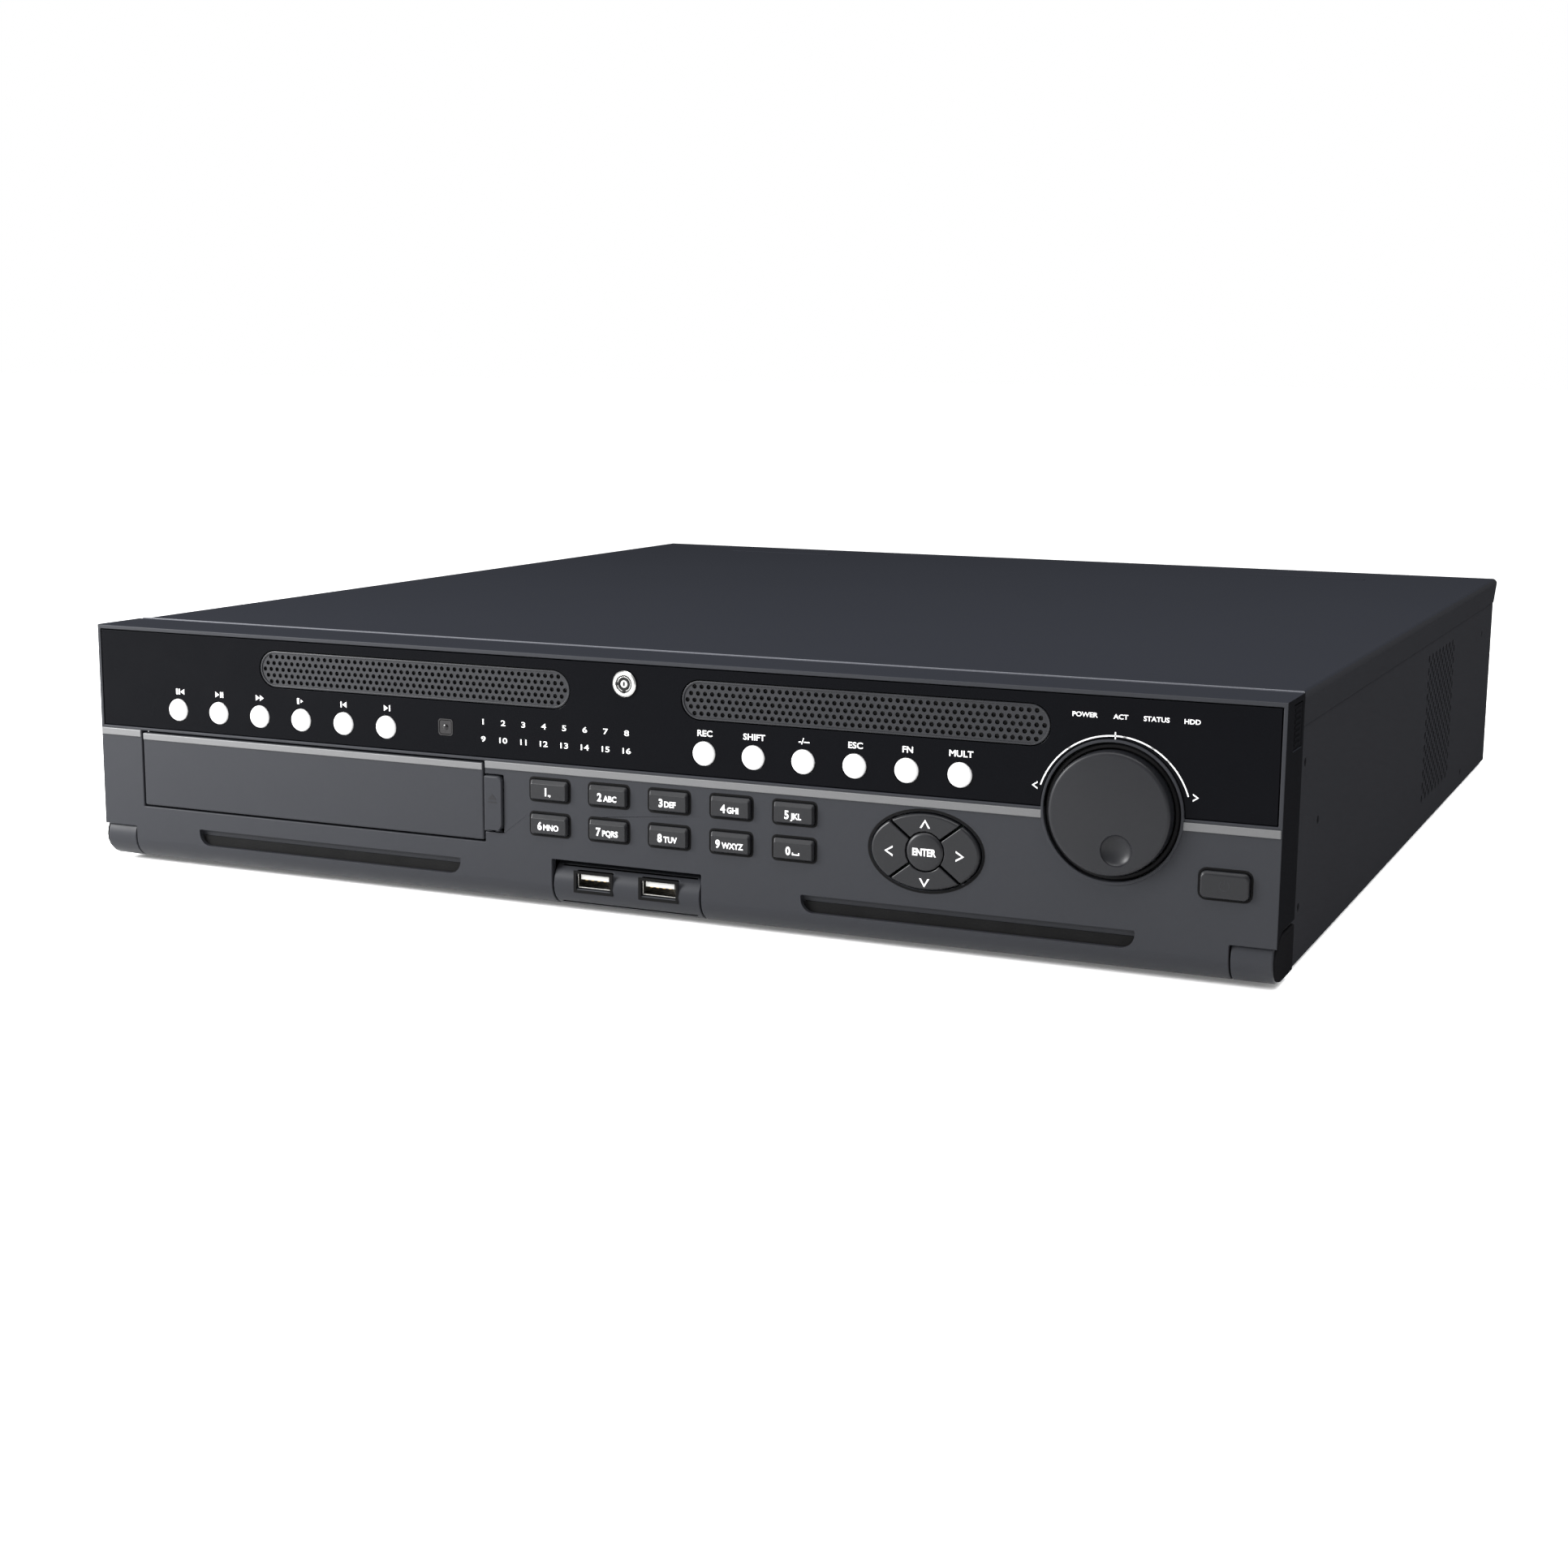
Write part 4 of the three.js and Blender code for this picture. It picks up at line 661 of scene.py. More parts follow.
# ---------------------------------------------------------------- door shell
# The moulded front door: a shallow tray of grey plastic with a round lower edge.
# Painted fine grey outside; it turns down on the knuckles and holds every control.
STRIP_TOP = 50.75
STRIP_HEIGHT = 2.6
GRIP_PLACES = (-120.7, 120.3)
GRIP_SIZE = (111.8, 5.9)
GRIP_BOTTOM = 9.7
GRIP_CORNER = 4.6
GRIP_DEPTH = 2.3
FACE_SLACK = 0.06
door_face = span("disc_flap")[0].y
# A near-black copy of the door's grey paint, laid on the door's ends as painted shade.
door_shade_paint = finish("door_end_painted_shade", (0.0036, 0.0037, 0.0042), 0.5, 0.42, 0.012, drift=0.06, sheen=0.0)


def circle(x, z, radius, sides=24):
    """Points round a circle in the door's plane."""
    return [
        (x + radius * math.cos(2 * math.pi * side / sides), z + radius * math.sin(2 * math.pi * side / sides))
        for side in range(sides)
    ]


def rounded_oblong(x, z, wide, high, radius, steps=8, top_radius=None):
    """Points round an oblong with round corners in the door's plane; the top pair may differ."""
    points = []
    for quarter, (side, level) in enumerate(((1, 1), (-1, 1), (-1, -1), (1, -1))):
        bend = top_radius if top_radius and level > 0 else radius
        for step in range(steps + 1):
            turn = (quarter + step / steps) * math.pi / 2
            points.append(
                (
                    x + side * (wide / 2 - bend) + bend * math.cos(turn),
                    z + level * (high / 2 - bend) + bend * math.sin(turn),
                )
            )
    return points


def plate(form, outlines, front, thick, edge=0.0):
    """Adds an upright plate; its first outline is the edge and the others are holes."""
    curve = bpy.data.curves.new("outline", "CURVE")
    curve.dimensions = "2D"
    curve.fill_mode = "BOTH"
    curve.extrude = (thick / 2 - edge) * MM
    curve.bevel_depth = edge * MM
    curve.bevel_resolution = 1
    curve.offset = -edge * MM
    for outline in outlines:
        spline = curve.splines.new("POLY")
        spline.points.add(len(outline) - 1)
        for point, (x, z) in zip(spline.points, outline):
            point.co = (x * MM, z * MM, 0, 1)
        spline.use_cyclic_u = True
    holder = bpy.data.objects.new("outline", curve)
    bpy.context.collection.objects.link(holder)
    drawn = bpy.data.meshes.new_from_object(holder.evaluated_get(bpy.context.evaluated_depsgraph_get()))
    bpy.data.objects.remove(holder)
    bpy.data.curves.remove(curve)
    drawn.transform(
        Matrix.Translation((0, (front + thick / 2) * MM, 0)) @ Matrix.Rotation(math.pi / 2, 4, "X")
    )
    form.from_mesh(drawn)
    bpy.data.meshes.remove(drawn)


grip_pockets = bmesh.new()
for grip_x in GRIP_PLACES:
    block(
        grip_pockets,
        (grip_x - GRIP_SIZE[0] / 2 - 0.3, door_face - 2, GRIP_BOTTOM - 0.1),
        (grip_x + GRIP_SIZE[0] / 2 + 0.3, door_face + 3.6, GRIP_BOTTOM + GRIP_SIZE[1] + 0.1),
    )
door_form = punched(merged_copy("door_shell"), grip_pockets)
for point in door_form.verts:
    if abs(point.co.y - door_face * MM) < FACE_SLACK * MM:
        point.co.y = door_face * MM
bmesh.ops.remove_doubles(door_form, verts=door_form.verts, dist=0.02 * MM)
bmesh.ops.dissolve_limit(
    door_form, angle_limit=math.radians(1), verts=door_form.verts, edges=door_form.edges
)
door_piece = rounded_edges(
    finished("door_moulding", door_form, panel_grey, "front_door", ["door_shell"]), 0.28
)
# Painted shade: the door's ends and every face above the silver strip take a near-black copy of its grey
# paint; the upward faces there take the cover's coat.
second_finish(
    door_piece,
    door_shade_paint,
    lambda centre, normal: centre.z > STRIP_TOP or abs(normal.x) > 0.9 and abs(centre.x) > BODY_END,
)
second_finish(door_piece, cover_paint, lambda centre, normal: centre.z > STRIP_TOP and normal.z > 0.7)
# Painted shade: a near-black sheet lies in the lower half of each grip recess, where the grip's overhang casts
# shade.
shade_sheet = finish("grip_shade_sheet", (0.0018, 0.0018, 0.0019), 0.9, 0.5, 0.05, drift=0.5, sheen=0.1)
for end, grip_x in zip(("left", "right"), GRIP_PLACES):
    grip_insert, grip_cutter, grip_shade_sheet = bmesh.new(), bmesh.new(), bmesh.new()
    grip_z = GRIP_BOTTOM + GRIP_SIZE[1] / 2
    block(
        grip_insert,
        (grip_x - GRIP_SIZE[0] / 2 - 0.6, door_face - 0.01, GRIP_BOTTOM - 0.4),
        (grip_x + GRIP_SIZE[0] / 2 + 0.6, door_face + 4.4, GRIP_BOTTOM + GRIP_SIZE[1] + 0.4),
    )
    plate(
        grip_cutter,
        [rounded_oblong(grip_x, grip_z, GRIP_SIZE[0], GRIP_SIZE[1], GRIP_CORNER, 8, 0.5)],
        door_face - 2,
        2 + GRIP_DEPTH,
    )
    plate(
        grip_shade_sheet,
        [rounded_oblong(grip_x, grip_z - 1.1, GRIP_SIZE[0] - 1.4, GRIP_SIZE[1] - 2.4, 1.6, 8, 0.4)],
        door_face + GRIP_DEPTH - 0.5,
        0.6,
    )
    insert = punched(grip_insert, closed(grip_cutter))
    finished("grip_recess_" + end, insert, panel_grey, "front_door", smooth=50)
    finished("grip_shade_sheet_" + end, closed(grip_shade_sheet), shade_sheet, "front_door")


def middle(low, high):
    """The middle of a box in the door's plane."""
    return (low.x + high.x) / 2, (low.z + high.z) / 2


dial_low, dial_high = span("jog_dial")
dial_x, dial_z = middle(dial_low, dial_high)
STRIP_REACH = 22.3
for number, (strip_start, strip_end) in enumerate(
    ((-219.6, flap_low.x - 0.8), (flap_high.x + 0.8, dial_x - STRIP_REACH), (dial_x + STRIP_REACH, 219.6))
):
    strip(
        "door_strip_%d" % (number + 1), strip_start, strip_end, STRIP_TOP, door_face - 0.4,
        STRIP_HEIGHT, "front_door",
    )

# ---------------------------------------------------------------- fascia
# A polished black acrylic plate let into the upper half of the door and glued.
# It carries the printed words and numbers, and has openings for buttons, lock and vents.
gloss_black = finish("polished_acrylic", (0.0015, 0.0016, 0.0021), 0.24, 4.0, 0.002, drift=0.05, sheen=0.015)
dressed("fascia_plate", "fascia_panel", gloss_black, "front_door", 0.15)

# ---------------------------------------------------------------- vent grilles
# Two long round-ended grilles of satin grey, punched with five rows of round holes.
# They sit in openings of the fascia; a dark felt behind them keeps dust out.
VENT_PITCH = 2.55
VENT_RADIUS = 0.8
VENT_ROWS = ((79.4, 47), (77.1, 48), (74.9, 49), (72.7, 48), (70.5, 47))
vent_grey = finish("grille_satin", (0.0085, 0.0088, 0.0102), 0.4, 0.5, 0.008, drift=0.05, sheen=0.12)
felt_black = finish("vent_felt", (0.004, 0.004, 0.004), 0.95, 0.3, 0.05)
for end in ("left", "right"):
    vent_low, vent_high = span("vent_grille_" + end)
    vent_x, vent_z = middle(vent_low, vent_high)
    vent_wide, vent_tall = vent_high.x - vent_low.x, vent_high.z - vent_low.z
    outlines = [rounded_oblong(vent_x, vent_z, vent_wide, vent_tall, vent_tall / 2 - 0.01)]
    for row_z, count in VENT_ROWS:
        for hole in range(count):
            hole_x = vent_x + (hole - (count - 1) / 2) * VENT_PITCH
            outlines.append(circle(hole_x, vent_z + row_z - 74.95, VENT_RADIUS, 10))
    grille = bmesh.new()
    plate(grille, outlines, vent_low.y - 0.25, 1.0)
    finished("grille_" + end, closed(grille), vent_grey, "front_door", ["vent_grille_" + end])
    felt = bmesh.new()
    plate(felt, outlines[:1], vent_low.y + 0.9, 0.3)
    finished("grille_felt_" + end, closed(felt), felt_black, "front_door")
    rim = bmesh.new()
    plate(
        rim,
        [
            rounded_oblong(vent_x, vent_z, vent_wide - 0.1, vent_tall - 0.1, vent_tall / 2 - 0.06),
            rounded_oblong(vent_x, vent_z, vent_wide - 1.3, vent_tall - 1.3, vent_tall / 2 - 0.66),
        ],
        vent_low.y - 0.55,
        0.5,
        0.12,
    )
    finished("grille_rim_" + end, closed(rim), vent_grey, "front_door")

# ---------------------------------------------------------------- keypad board
# The circuit board behind the door's controls, held by clips inside the shell.
# Every key presses a dome switch on it.
finished(
    "control_board", merged_copy("keypad_board"), board_green, "front_door", ["keypad_board"]
)
keypad_back = span("keypad_board")[1].y
keypad_screws = bmesh.new()
for screw_x, screw_z in ((-206, 60), (-70, 60), (78, 50), (78, 23), (143, 24), (205, 24), (205, 64)):
    turned(
        keypad_screws,
        [(0, 1.3), (1.2, 1.3), (1.4, 0.7), (0.5, 0.7), (1.6, 1.1), (2.5, 0.5), (2.6, 0), (0, 0)],
        (screw_x, keypad_back, screw_z),
        steps=16,
    )
finished("keypad_screws", closed(keypad_screws), screw_steel, "front_door")
keypad_parts = bmesh.new()
block(keypad_parts, (-20, keypad_back, 52), (14, keypad_back + 4.5, 57))
for chip_x, chip_z, chip_side in ((40, 36, 10), (120, 56, 7), (-120, 59, 5), (170, 76, 4)):
    block(
        keypad_parts,
        (chip_x - chip_side / 2, keypad_back, chip_z - chip_side / 2),
        (chip_x + chip_side / 2, keypad_back + 1.6, chip_z + chip_side / 2),
    )
rounded_edges(finished("keypad_chips", keypad_parts, chip_black, "front_door"), 0.3)

# ---------------------------------------------------------------- round function buttons
# Twelve domed buttons of white translucent plastic, six at each side of the fascia.
# Each slides in its own hole on a flange and springs back from its switch.
FUNCTIONS = ["reverse", "play", "fast", "slow", "previous", "next"]
FUNCTIONS += ["record", "shift", "dash", "escape", "function", "multiple"]
BUTTON_RADIUS = 4.0
button_white = finish("white_button", (0.42, 0.42, 0.42), 0.35, 0.6, 0.004, drift=0.02, sheen=0.2)
for function in FUNCTIONS:
    button_low, button_high = span("button_" + function)
    button_front, button_back = button_low.y, button_high.y
    cap = bmesh.new()
    turned(
        cap,
        [
            (0, button_front),
            (2.0, button_front + 0.06),
            (3.2, button_front + 0.25),
            (3.75, button_front + 0.6),
            (BUTTON_RADIUS, button_front + 1.1),
            (BUTTON_RADIUS, button_back - 6),
            (5.1, button_back - 6),
            (5.1, button_back),
            (0, button_back),
        ],
        ((button_low.x + button_high.x) / 2, 0, (button_low.z + button_high.z) / 2),
    )
    finished(
        "function_button_" + function,
        closed(cap),
        button_white,
        "button_" + function + "_cap",
        ["button_" + function],
    )

# ---------------------------------------------------------------- number keys
# Ten low keycaps of charcoal plastic with a sloped upper edge and printed legends.
# Each slides in its own hole in the grey panel, on a flange behind it.
INK = 0.05
CAP_SHARE = 0.729
KEY_LEGENDS = {
    "1": ".,", "2": "ABC", "3": "DEF", "4": "GHI", "5": "JKL",
    "6": "MNO", "7": "PQRS", "8": "TUV", "9": "WXYZ", "0": "",
}
KEY_SIZE = (14.4, 7.0)
key_charcoal = finish("key_charcoal", (0.0043, 0.0045, 0.0053), 0.36, 0.5, 0.008, drift=0.06, sheen=0.14)
ink_white = finish("printed_white", (0.42, 0.42, 0.42), 0.5, 0.3, 0.004, drift=0.02, sheen=0.1)


def letters(words, high, weight=0.05, narrow=1.0):
    """Flat letters lying in the door's plane at the origin, with the mesh and how wide they run."""
    curve = bpy.data.curves.new("words", "FONT")
    curve.body = words
    curve.size = high / CAP_SHARE * MM
    curve.offset = weight * high * MM
    curve.extrude = INK / 2 * MM
    curve.resolution_u = 3
    holder = bpy.data.objects.new("words", curve)
    bpy.context.collection.objects.link(holder)
    drawn = bpy.data.meshes.new_from_object(holder.evaluated_get(bpy.context.evaluated_depsgraph_get()))
    bpy.data.objects.remove(holder)
    bpy.data.curves.remove(curve)
    drawn.transform(Matrix.Rotation(math.pi / 2, 4, "X") @ Matrix.Diagonal((narrow, 1, 1, 1)))
    across = [point.co.x for point in drawn.vertices]
    drawn.transform(Matrix.Translation((-min(across), 0, 0)))
    return drawn, (max(across) - min(across)) / MM


def printed(form, words, x, z, high, front, weight=0.05, narrow=1.0):
    """Adds words printed on a surface, centred on a point."""
    drawn, wide = letters(words, high, weight, narrow)
    drawn.transform(Matrix.Translation(Vector((x - wide / 2, front - INK / 2, z - high / 2)) * MM))
    form.from_mesh(drawn)
    bpy.data.meshes.remove(drawn)


def stamp(form, outline, front, thick=INK):
    """Adds a small flat printed shape from its outline in the door's plane."""
    points = [form.verts.new(Vector((x, front, z)) * MM) for x, z in outline]
    face = form.faces.new(points)
    raised = bmesh.ops.extrude_face_region(form, geom=[face])
    moved = [item for item in raised["geom"] if isinstance(item, bmesh.types.BMVert)]
    bmesh.ops.translate(form, verts=moved, vec=(0, -thick * MM, 0))


def keycap(form, low, high, size, corner, slope, back):
    """Adds a keycap whose face slopes more at the top; the flange behind it is added apart."""
    x, z = (low.x + high.x) / 2, (low.z + high.z) / 2
    outline = rounded_oblong(x, z, size[0], size[1], corner, 4)
    points = [form.verts.new(Vector((px, low.y + slope, pz)) * MM) for px, pz in outline]
    face = form.faces.new(points)
    stem = bmesh.ops.extrude_face_region(form, geom=[face])
    stem_points = [item for item in stem["geom"] if isinstance(item, bmesh.types.BMVert)]
    bmesh.ops.translate(form, verts=stem_points, vec=(0, (back - low.y - slope) * MM, 0))
    bmesh.ops.inset_individual(form, faces=[face], thickness=slope * 0.55 * MM, use_even_offset=True)
    front_points = list(face.verts)
    for point in front_points:
        point.co.y = low.y * MM
        if point.co.z > z * MM:
            point.co.z -= slope * 0.9 * MM
    bmesh.ops.recalc_face_normals(form, faces=form.faces)


key_shade_rings = bmesh.new()


def key_shade_ring(x, z, wide, high, corner, steps=4):
    """Adds a thin black ring on the door face round a key: painted shade of the gap round it."""
    plate(
        key_shade_rings,
        [
            rounded_oblong(x, z, wide + 1.7, high + 1.7, corner + 0.8, steps),
            rounded_oblong(x, z, wide + 0.3, high + 0.3, corner + 0.15, steps),
        ],
        door_face - 0.03,
        0.1,
    )


for digit, words in KEY_LEGENDS.items():
    key_low, key_high = span("key_" + digit)
    key_x, key_z = middle(key_low, key_high)
    cap = bmesh.new()
    keycap(cap, key_low, key_high, KEY_SIZE, 0.9, 1.0, key_high.y - 1.2)
    plate(
        cap,
        [rounded_oblong(key_x, key_z, KEY_SIZE[0] + 2.4, KEY_SIZE[1] + 2.4, 1.6, 3)],
        key_high.y - 1.2,
        1.2,
    )
    rounded_edges(
        finished(
            "number_key_" + digit, cap, key_charcoal, "key_" + digit + "_cap",
            ["key_" + digit],
        ),
        0.14,
        angle=20,
    )
    key_shade_ring(key_x, key_z, KEY_SIZE[0], KEY_SIZE[1], 0.9)
    legend = bmesh.new()
    level = key_z - 1.75
    numeral, numeral_wide = letters(digit, 2.75, 0.045, 0.9)
    word, word_wide = letters(words, 2.0, 0.045, 0.92) if words else (None, 2.6)
    start = key_x - (numeral_wide + 0.6 + word_wide) / 2
    numeral.transform(Matrix.Translation(Vector((start, key_low.y - INK / 2, level)) * MM))
    legend.from_mesh(numeral)
    bpy.data.meshes.remove(numeral)
    start += numeral_wide + 0.6
    if word:
        word.transform(Matrix.Translation(Vector((start, key_low.y - INK / 2, level)) * MM))
        legend.from_mesh(word)
        bpy.data.meshes.remove(word)
    else:
        stamp(
            legend,
            [
                (start, level + 0.9), (start, level), (start + 2.6, level), (start + 2.6, level + 0.9),
                (start + 2.2, level + 0.9), (start + 2.2, level + 0.4), (start + 0.4, level + 0.4),
                (start + 0.4, level + 0.9),
            ],
            key_low.y,
        )
    finished("legend_key_" + digit, closed(legend), ink_white, "key_" + digit + "_cap")

# ---------------------------------------------------------------- arrow keys and ENTER
# Four segments of an oval round a central button, moulded in the same charcoal plastic.
# Each is free to press by itself; thin gaps part them.
CHEVRONS = {
    "up": (107.6, 43.1, 0), "down": (107.7, 24.0, 180), "left": (95.4, 33.4, 90), "right": (119.5, 33.6, 270),
}
CHEVRON_HALF = 1.75
CHEVRON_LINE = 0.5


def chevron(form, x, z, lean, half, line, front, flatter=0.8):
    """Adds a printed arrowhead that points up before it leans round, in degrees."""
    arrow = [
        (-half, -half * flatter),
        (0, half * flatter),
        (half, -half * flatter),
        (half - line * 1.3, -half * flatter),
        (0, half * flatter - line * 1.6),
        (-half + line * 1.3, -half * flatter),
    ]
    turn = math.radians(lean)
    stamp(
        form,
        [
            (x + px * math.cos(turn) - pz * math.sin(turn), z + px * math.sin(turn) + pz * math.cos(turn))
            for px, pz in arrow
        ],
        front,
    )


for way, (mark_x, mark_z, lean) in CHEVRONS.items():
    cap_body = "arrow_" + way + "_cap"
    dressed("arrow_key_" + way, "arrow_" + way, key_charcoal, cap_body, 0.3, 3)
    mark = bmesh.new()
    chevron(mark, mark_x, mark_z, lean, CHEVRON_HALF, CHEVRON_LINE, span("arrow_" + way)[0].y)
    finished("legend_arrow_" + way, closed(mark), ink_white, cap_body)
enter_low, enter_high = span("enter_key")
enter_x, enter_z = middle(enter_low, enter_high)
ENTER_RADIUS = 6.2
enter_cap = bmesh.new()
turned(
    enter_cap,
    [
        (0, enter_low.y), (5.2, enter_low.y), (5.8, enter_low.y + 0.15), (ENTER_RADIUS, enter_low.y + 0.6),
        (ENTER_RADIUS, enter_high.y - 1.2), (7.2, enter_high.y - 1.2), (7.2, enter_high.y), (0, enter_high.y),
    ],
    (enter_x, 0, enter_z),
    steps=48,
)
finished("enter_button", closed(enter_cap), key_charcoal, "enter_key_cap", ["enter_key"])
enter_word = bmesh.new()
printed(enter_word, "ENTER", enter_x, enter_z, 2.35, enter_low.y, 0.05, 0.82)
finished("legend_enter", closed(enter_word), ink_white, "enter_key_cap")

# ---------------------------------------------------------------- power and eject buttons
# The power button is a charcoal oblong at the right end with a faint standby mark.
# The eject button is a tall grey tab beside the flap with a faint open-tray mark.
POWER_SIZE = (15.2, 8.4)
PAD_SIZE = (37.6, 25.4)
power_low, power_high = span("power_button")
power_x, power_z = middle(power_low, power_high)
power_cap = bmesh.new()
keycap(power_cap, power_low, power_high, POWER_SIZE, 1.8, 0.7, power_high.y - 1.2)
plate(power_cap, [rounded_oblong(power_x, power_z, 17.6, 10.8, 2.4, 4)], power_high.y - 1.2, 1.2)
rounded_edges(
    finished("power_key", power_cap, key_charcoal, "power_button_cap", ["power_button"]),
    0.3,
    3,
    angle=20,
)
key_shade_ring(power_x, power_z, POWER_SIZE[0], POWER_SIZE[1], 1.8)
# A black ring round the arrow pad: painted shade of the gap round it.
plate(
    key_shade_rings,
    [
        [
            (enter_x + (PAD_SIZE[0] / 2 + reach) * px, enter_z + (PAD_SIZE[1] / 2 + reach) * pz)
            for px, pz in circle(0, 0, 1, 64)
        ]
        for reach in (1.0, 0.2)
    ],
    door_face - 0.03,
    0.1,
)
# The rings are near-black: painted shade in the gaps round the keys and the pad.
key_ring_shade = finish("key_gap_painted_shade", (0.0012, 0.0012, 0.0013), 0.7, 0.4, 0.01, sheen=0.05)
finished("key_gap_shade_rings", closed(key_shade_rings), key_ring_shade, "front_door")
faint_ink = finish("faint_mark", (0.0095, 0.0098, 0.011), 0.5, 0.3, 0.004, drift=0.03, sheen=0.1)


def arc_band(form, x, z, radius, line, start, end, front, steps=40):
    """Adds a printed arc between two directions in degrees, anticlockwise from the right."""
    turns = [math.radians(start + (end - start) * step / steps) for step in range(steps + 1)]
    for first, second in zip(turns, turns[1:]):
        stamp(
            form,
            [
                (x + (radius - line / 2) * math.cos(first), z + (radius - line / 2) * math.sin(first)),
                (x + (radius + line / 2) * math.cos(first), z + (radius + line / 2) * math.sin(first)),
                (x + (radius + line / 2) * math.cos(second), z + (radius + line / 2) * math.sin(second)),
                (x + (radius - line / 2) * math.cos(second), z + (radius - line / 2) * math.sin(second)),
            ],
            front,
        )


standby = bmesh.new()
arc_band(standby, power_x, power_z, 1.5, 0.35, 125, 415, power_low.y, 24)
stamp(
    standby,
    [
        (power_x - 0.18, power_z + 0.3), (power_x + 0.18, power_z + 0.3),
        (power_x + 0.18, power_z + 1.9), (power_x - 0.18, power_z + 1.9),
    ],
    power_low.y,
)
finished("standby_mark", closed(standby), faint_ink, "power_button_cap")
eject_low, eject_high = span("eject_button")
eject_cap = bmesh.new()
EJECT_FACE = (-50.9, 36.0, 7.0, 19.4)
EJECT_STEPS = 6
eject_round = rounded_oblong(*EJECT_FACE, 3.0, EJECT_STEPS, 1.8)
eject_left = EJECT_FACE[0] - EJECT_FACE[2] / 2
eject_half = EJECT_FACE[3] / 2
eject_outline = eject_round[: EJECT_STEPS + 1]
eject_outline += [(eject_left, EJECT_FACE[1] + eject_half), (eject_left, EJECT_FACE[1] - eject_half)]
eject_outline += eject_round[-EJECT_STEPS - 1 :]
plate(eject_cap, [eject_outline], eject_low.y, eject_high.y - 1.2 - eject_low.y)
plate(
    eject_cap,
    [rounded_oblong((eject_low.x + eject_high.x) / 2, EJECT_FACE[1], eject_high.x - eject_low.x, 21.8, 1)],
    eject_high.y - 1.2,
    1.2,
)
rounded_edges(
    finished("eject_key", eject_cap, panel_grey, "eject_button_cap", ["eject_button"]), 0.5, 3
)
EJECT_X, EJECT_Z = -51.0, 37.5
eject_mark = bmesh.new()
stamp(eject_mark, [(EJECT_X - 1.7, EJECT_Z), (EJECT_X + 1.7, EJECT_Z), (EJECT_X, EJECT_Z + 2)], eject_low.y)
stamp(
    eject_mark,
    [
        (EJECT_X - 1.7, EJECT_Z - 1.2), (EJECT_X + 1.7, EJECT_Z - 1.2),
        (EJECT_X + 1.7, EJECT_Z - 0.7), (EJECT_X - 1.7, EJECT_Z - 0.7),
    ],
    eject_low.y,
)
dark_ink = finish("engraved_mark", (0.007, 0.007, 0.008), 0.6, 0.3, 0.004, drift=0.03, sheen=0.1)
finished("eject_mark", closed(eject_mark), dark_ink, "eject_button_cap")

# ---------------------------------------------------------------- jog dial and shuttle ring
# The dial is a disc of dark grey plastic with a finger dimple, turning on a shaft through the door.
# Round it runs a narrow sprung ring with a finely ribbed rubber rim.
DIMPLE_DROP = 11.1
DIMPLE_SIDE = 2.8
DIMPLE_RADIUS = 5.0
DIMPLE_DEPTH = 1.9
DIAL_RADIUS = 19.3
dial_grey = finish("dial_grey", (0.0055, 0.0057, 0.0068), 0.38, 0.42, 0.01, drift=0.06, sheen=0.12)
ring_rubber = finish("ring_rubber", (0.0022, 0.0022, 0.0025), 0.6, 0.3, 0.03, sheen=0.05)
dial_front = dial_low.y
dimple_x, dimple_z = dial_x + DIMPLE_SIDE, dial_z - DIMPLE_DROP
dial = bmesh.new()
plate(
    dial,
    [circle(dial_x, dial_z, DIAL_RADIUS - 1.3, 72), circle(dimple_x, dimple_z, DIMPLE_RADIUS, 40)],
    dial_front + 0.05,
    0.02,
)
bmesh.ops.delete(
    dial,
    geom=[face for face in dial.faces if face.calc_center_median().y > (dial_front + 0.055) * MM],
    context="FACES",
)
turned(
    dial,
    [
        (DIAL_RADIUS - 1.3, dial_front + 0.05),
        (DIAL_RADIUS - 0.7, dial_front + 0.12),
        (DIAL_RADIUS - 0.25, dial_front + 0.45),
        (DIAL_RADIUS, dial_front + 1.1),
        (DIAL_RADIUS, dial_high.y),
        (0, dial_high.y),
    ],
    (dial_x, 0, dial_z),
    steps=72,
)
turned(
    dial,
    [
        (DIMPLE_RADIUS * math.sin(lean), dial_front + 0.05 + DIMPLE_DEPTH * math.cos(lean) ** 1.2)
        for lean in map(math.radians, (0, 12, 24, 36, 48, 60, 70, 80, 90))
    ],
    (dimple_x, 0, dimple_z),
    steps=40,
)
finished("dial_disc", closed(dial), dial_grey, "jog_wheel", ["jog_dial"], smooth=50)
ring_low, ring_high = span("shuttle_ring")
shuttle = bmesh.new()
turned(
    shuttle,
    [
        (19.7, ring_high.y), (19.7, ring_low.y + 0.3), (20.0, ring_low.y), (20.8, ring_low.y),
        (21.2, ring_low.y + 0.4), (21.2, ring_high.y), (19.7, ring_high.y),
    ],
    (dial_x, 0, dial_z),
    steps=72,
)
finished("shuttle_rim", closed(shuttle), ring_rubber, "shuttle_wheel", ["shuttle_ring"])
collar = bmesh.new()
turned(
    collar,
    [
        (21.6, door_face), (21.7, door_face - 0.5), (22.0, door_face - 0.6), (22.5, door_face - 0.5),
        (22.6, door_face), (21.6, door_face),
    ],
    (dial_x, 0, dial_z),
    steps=80,
)
finished("dial_collar", closed(collar), panel_grey, "front_door")

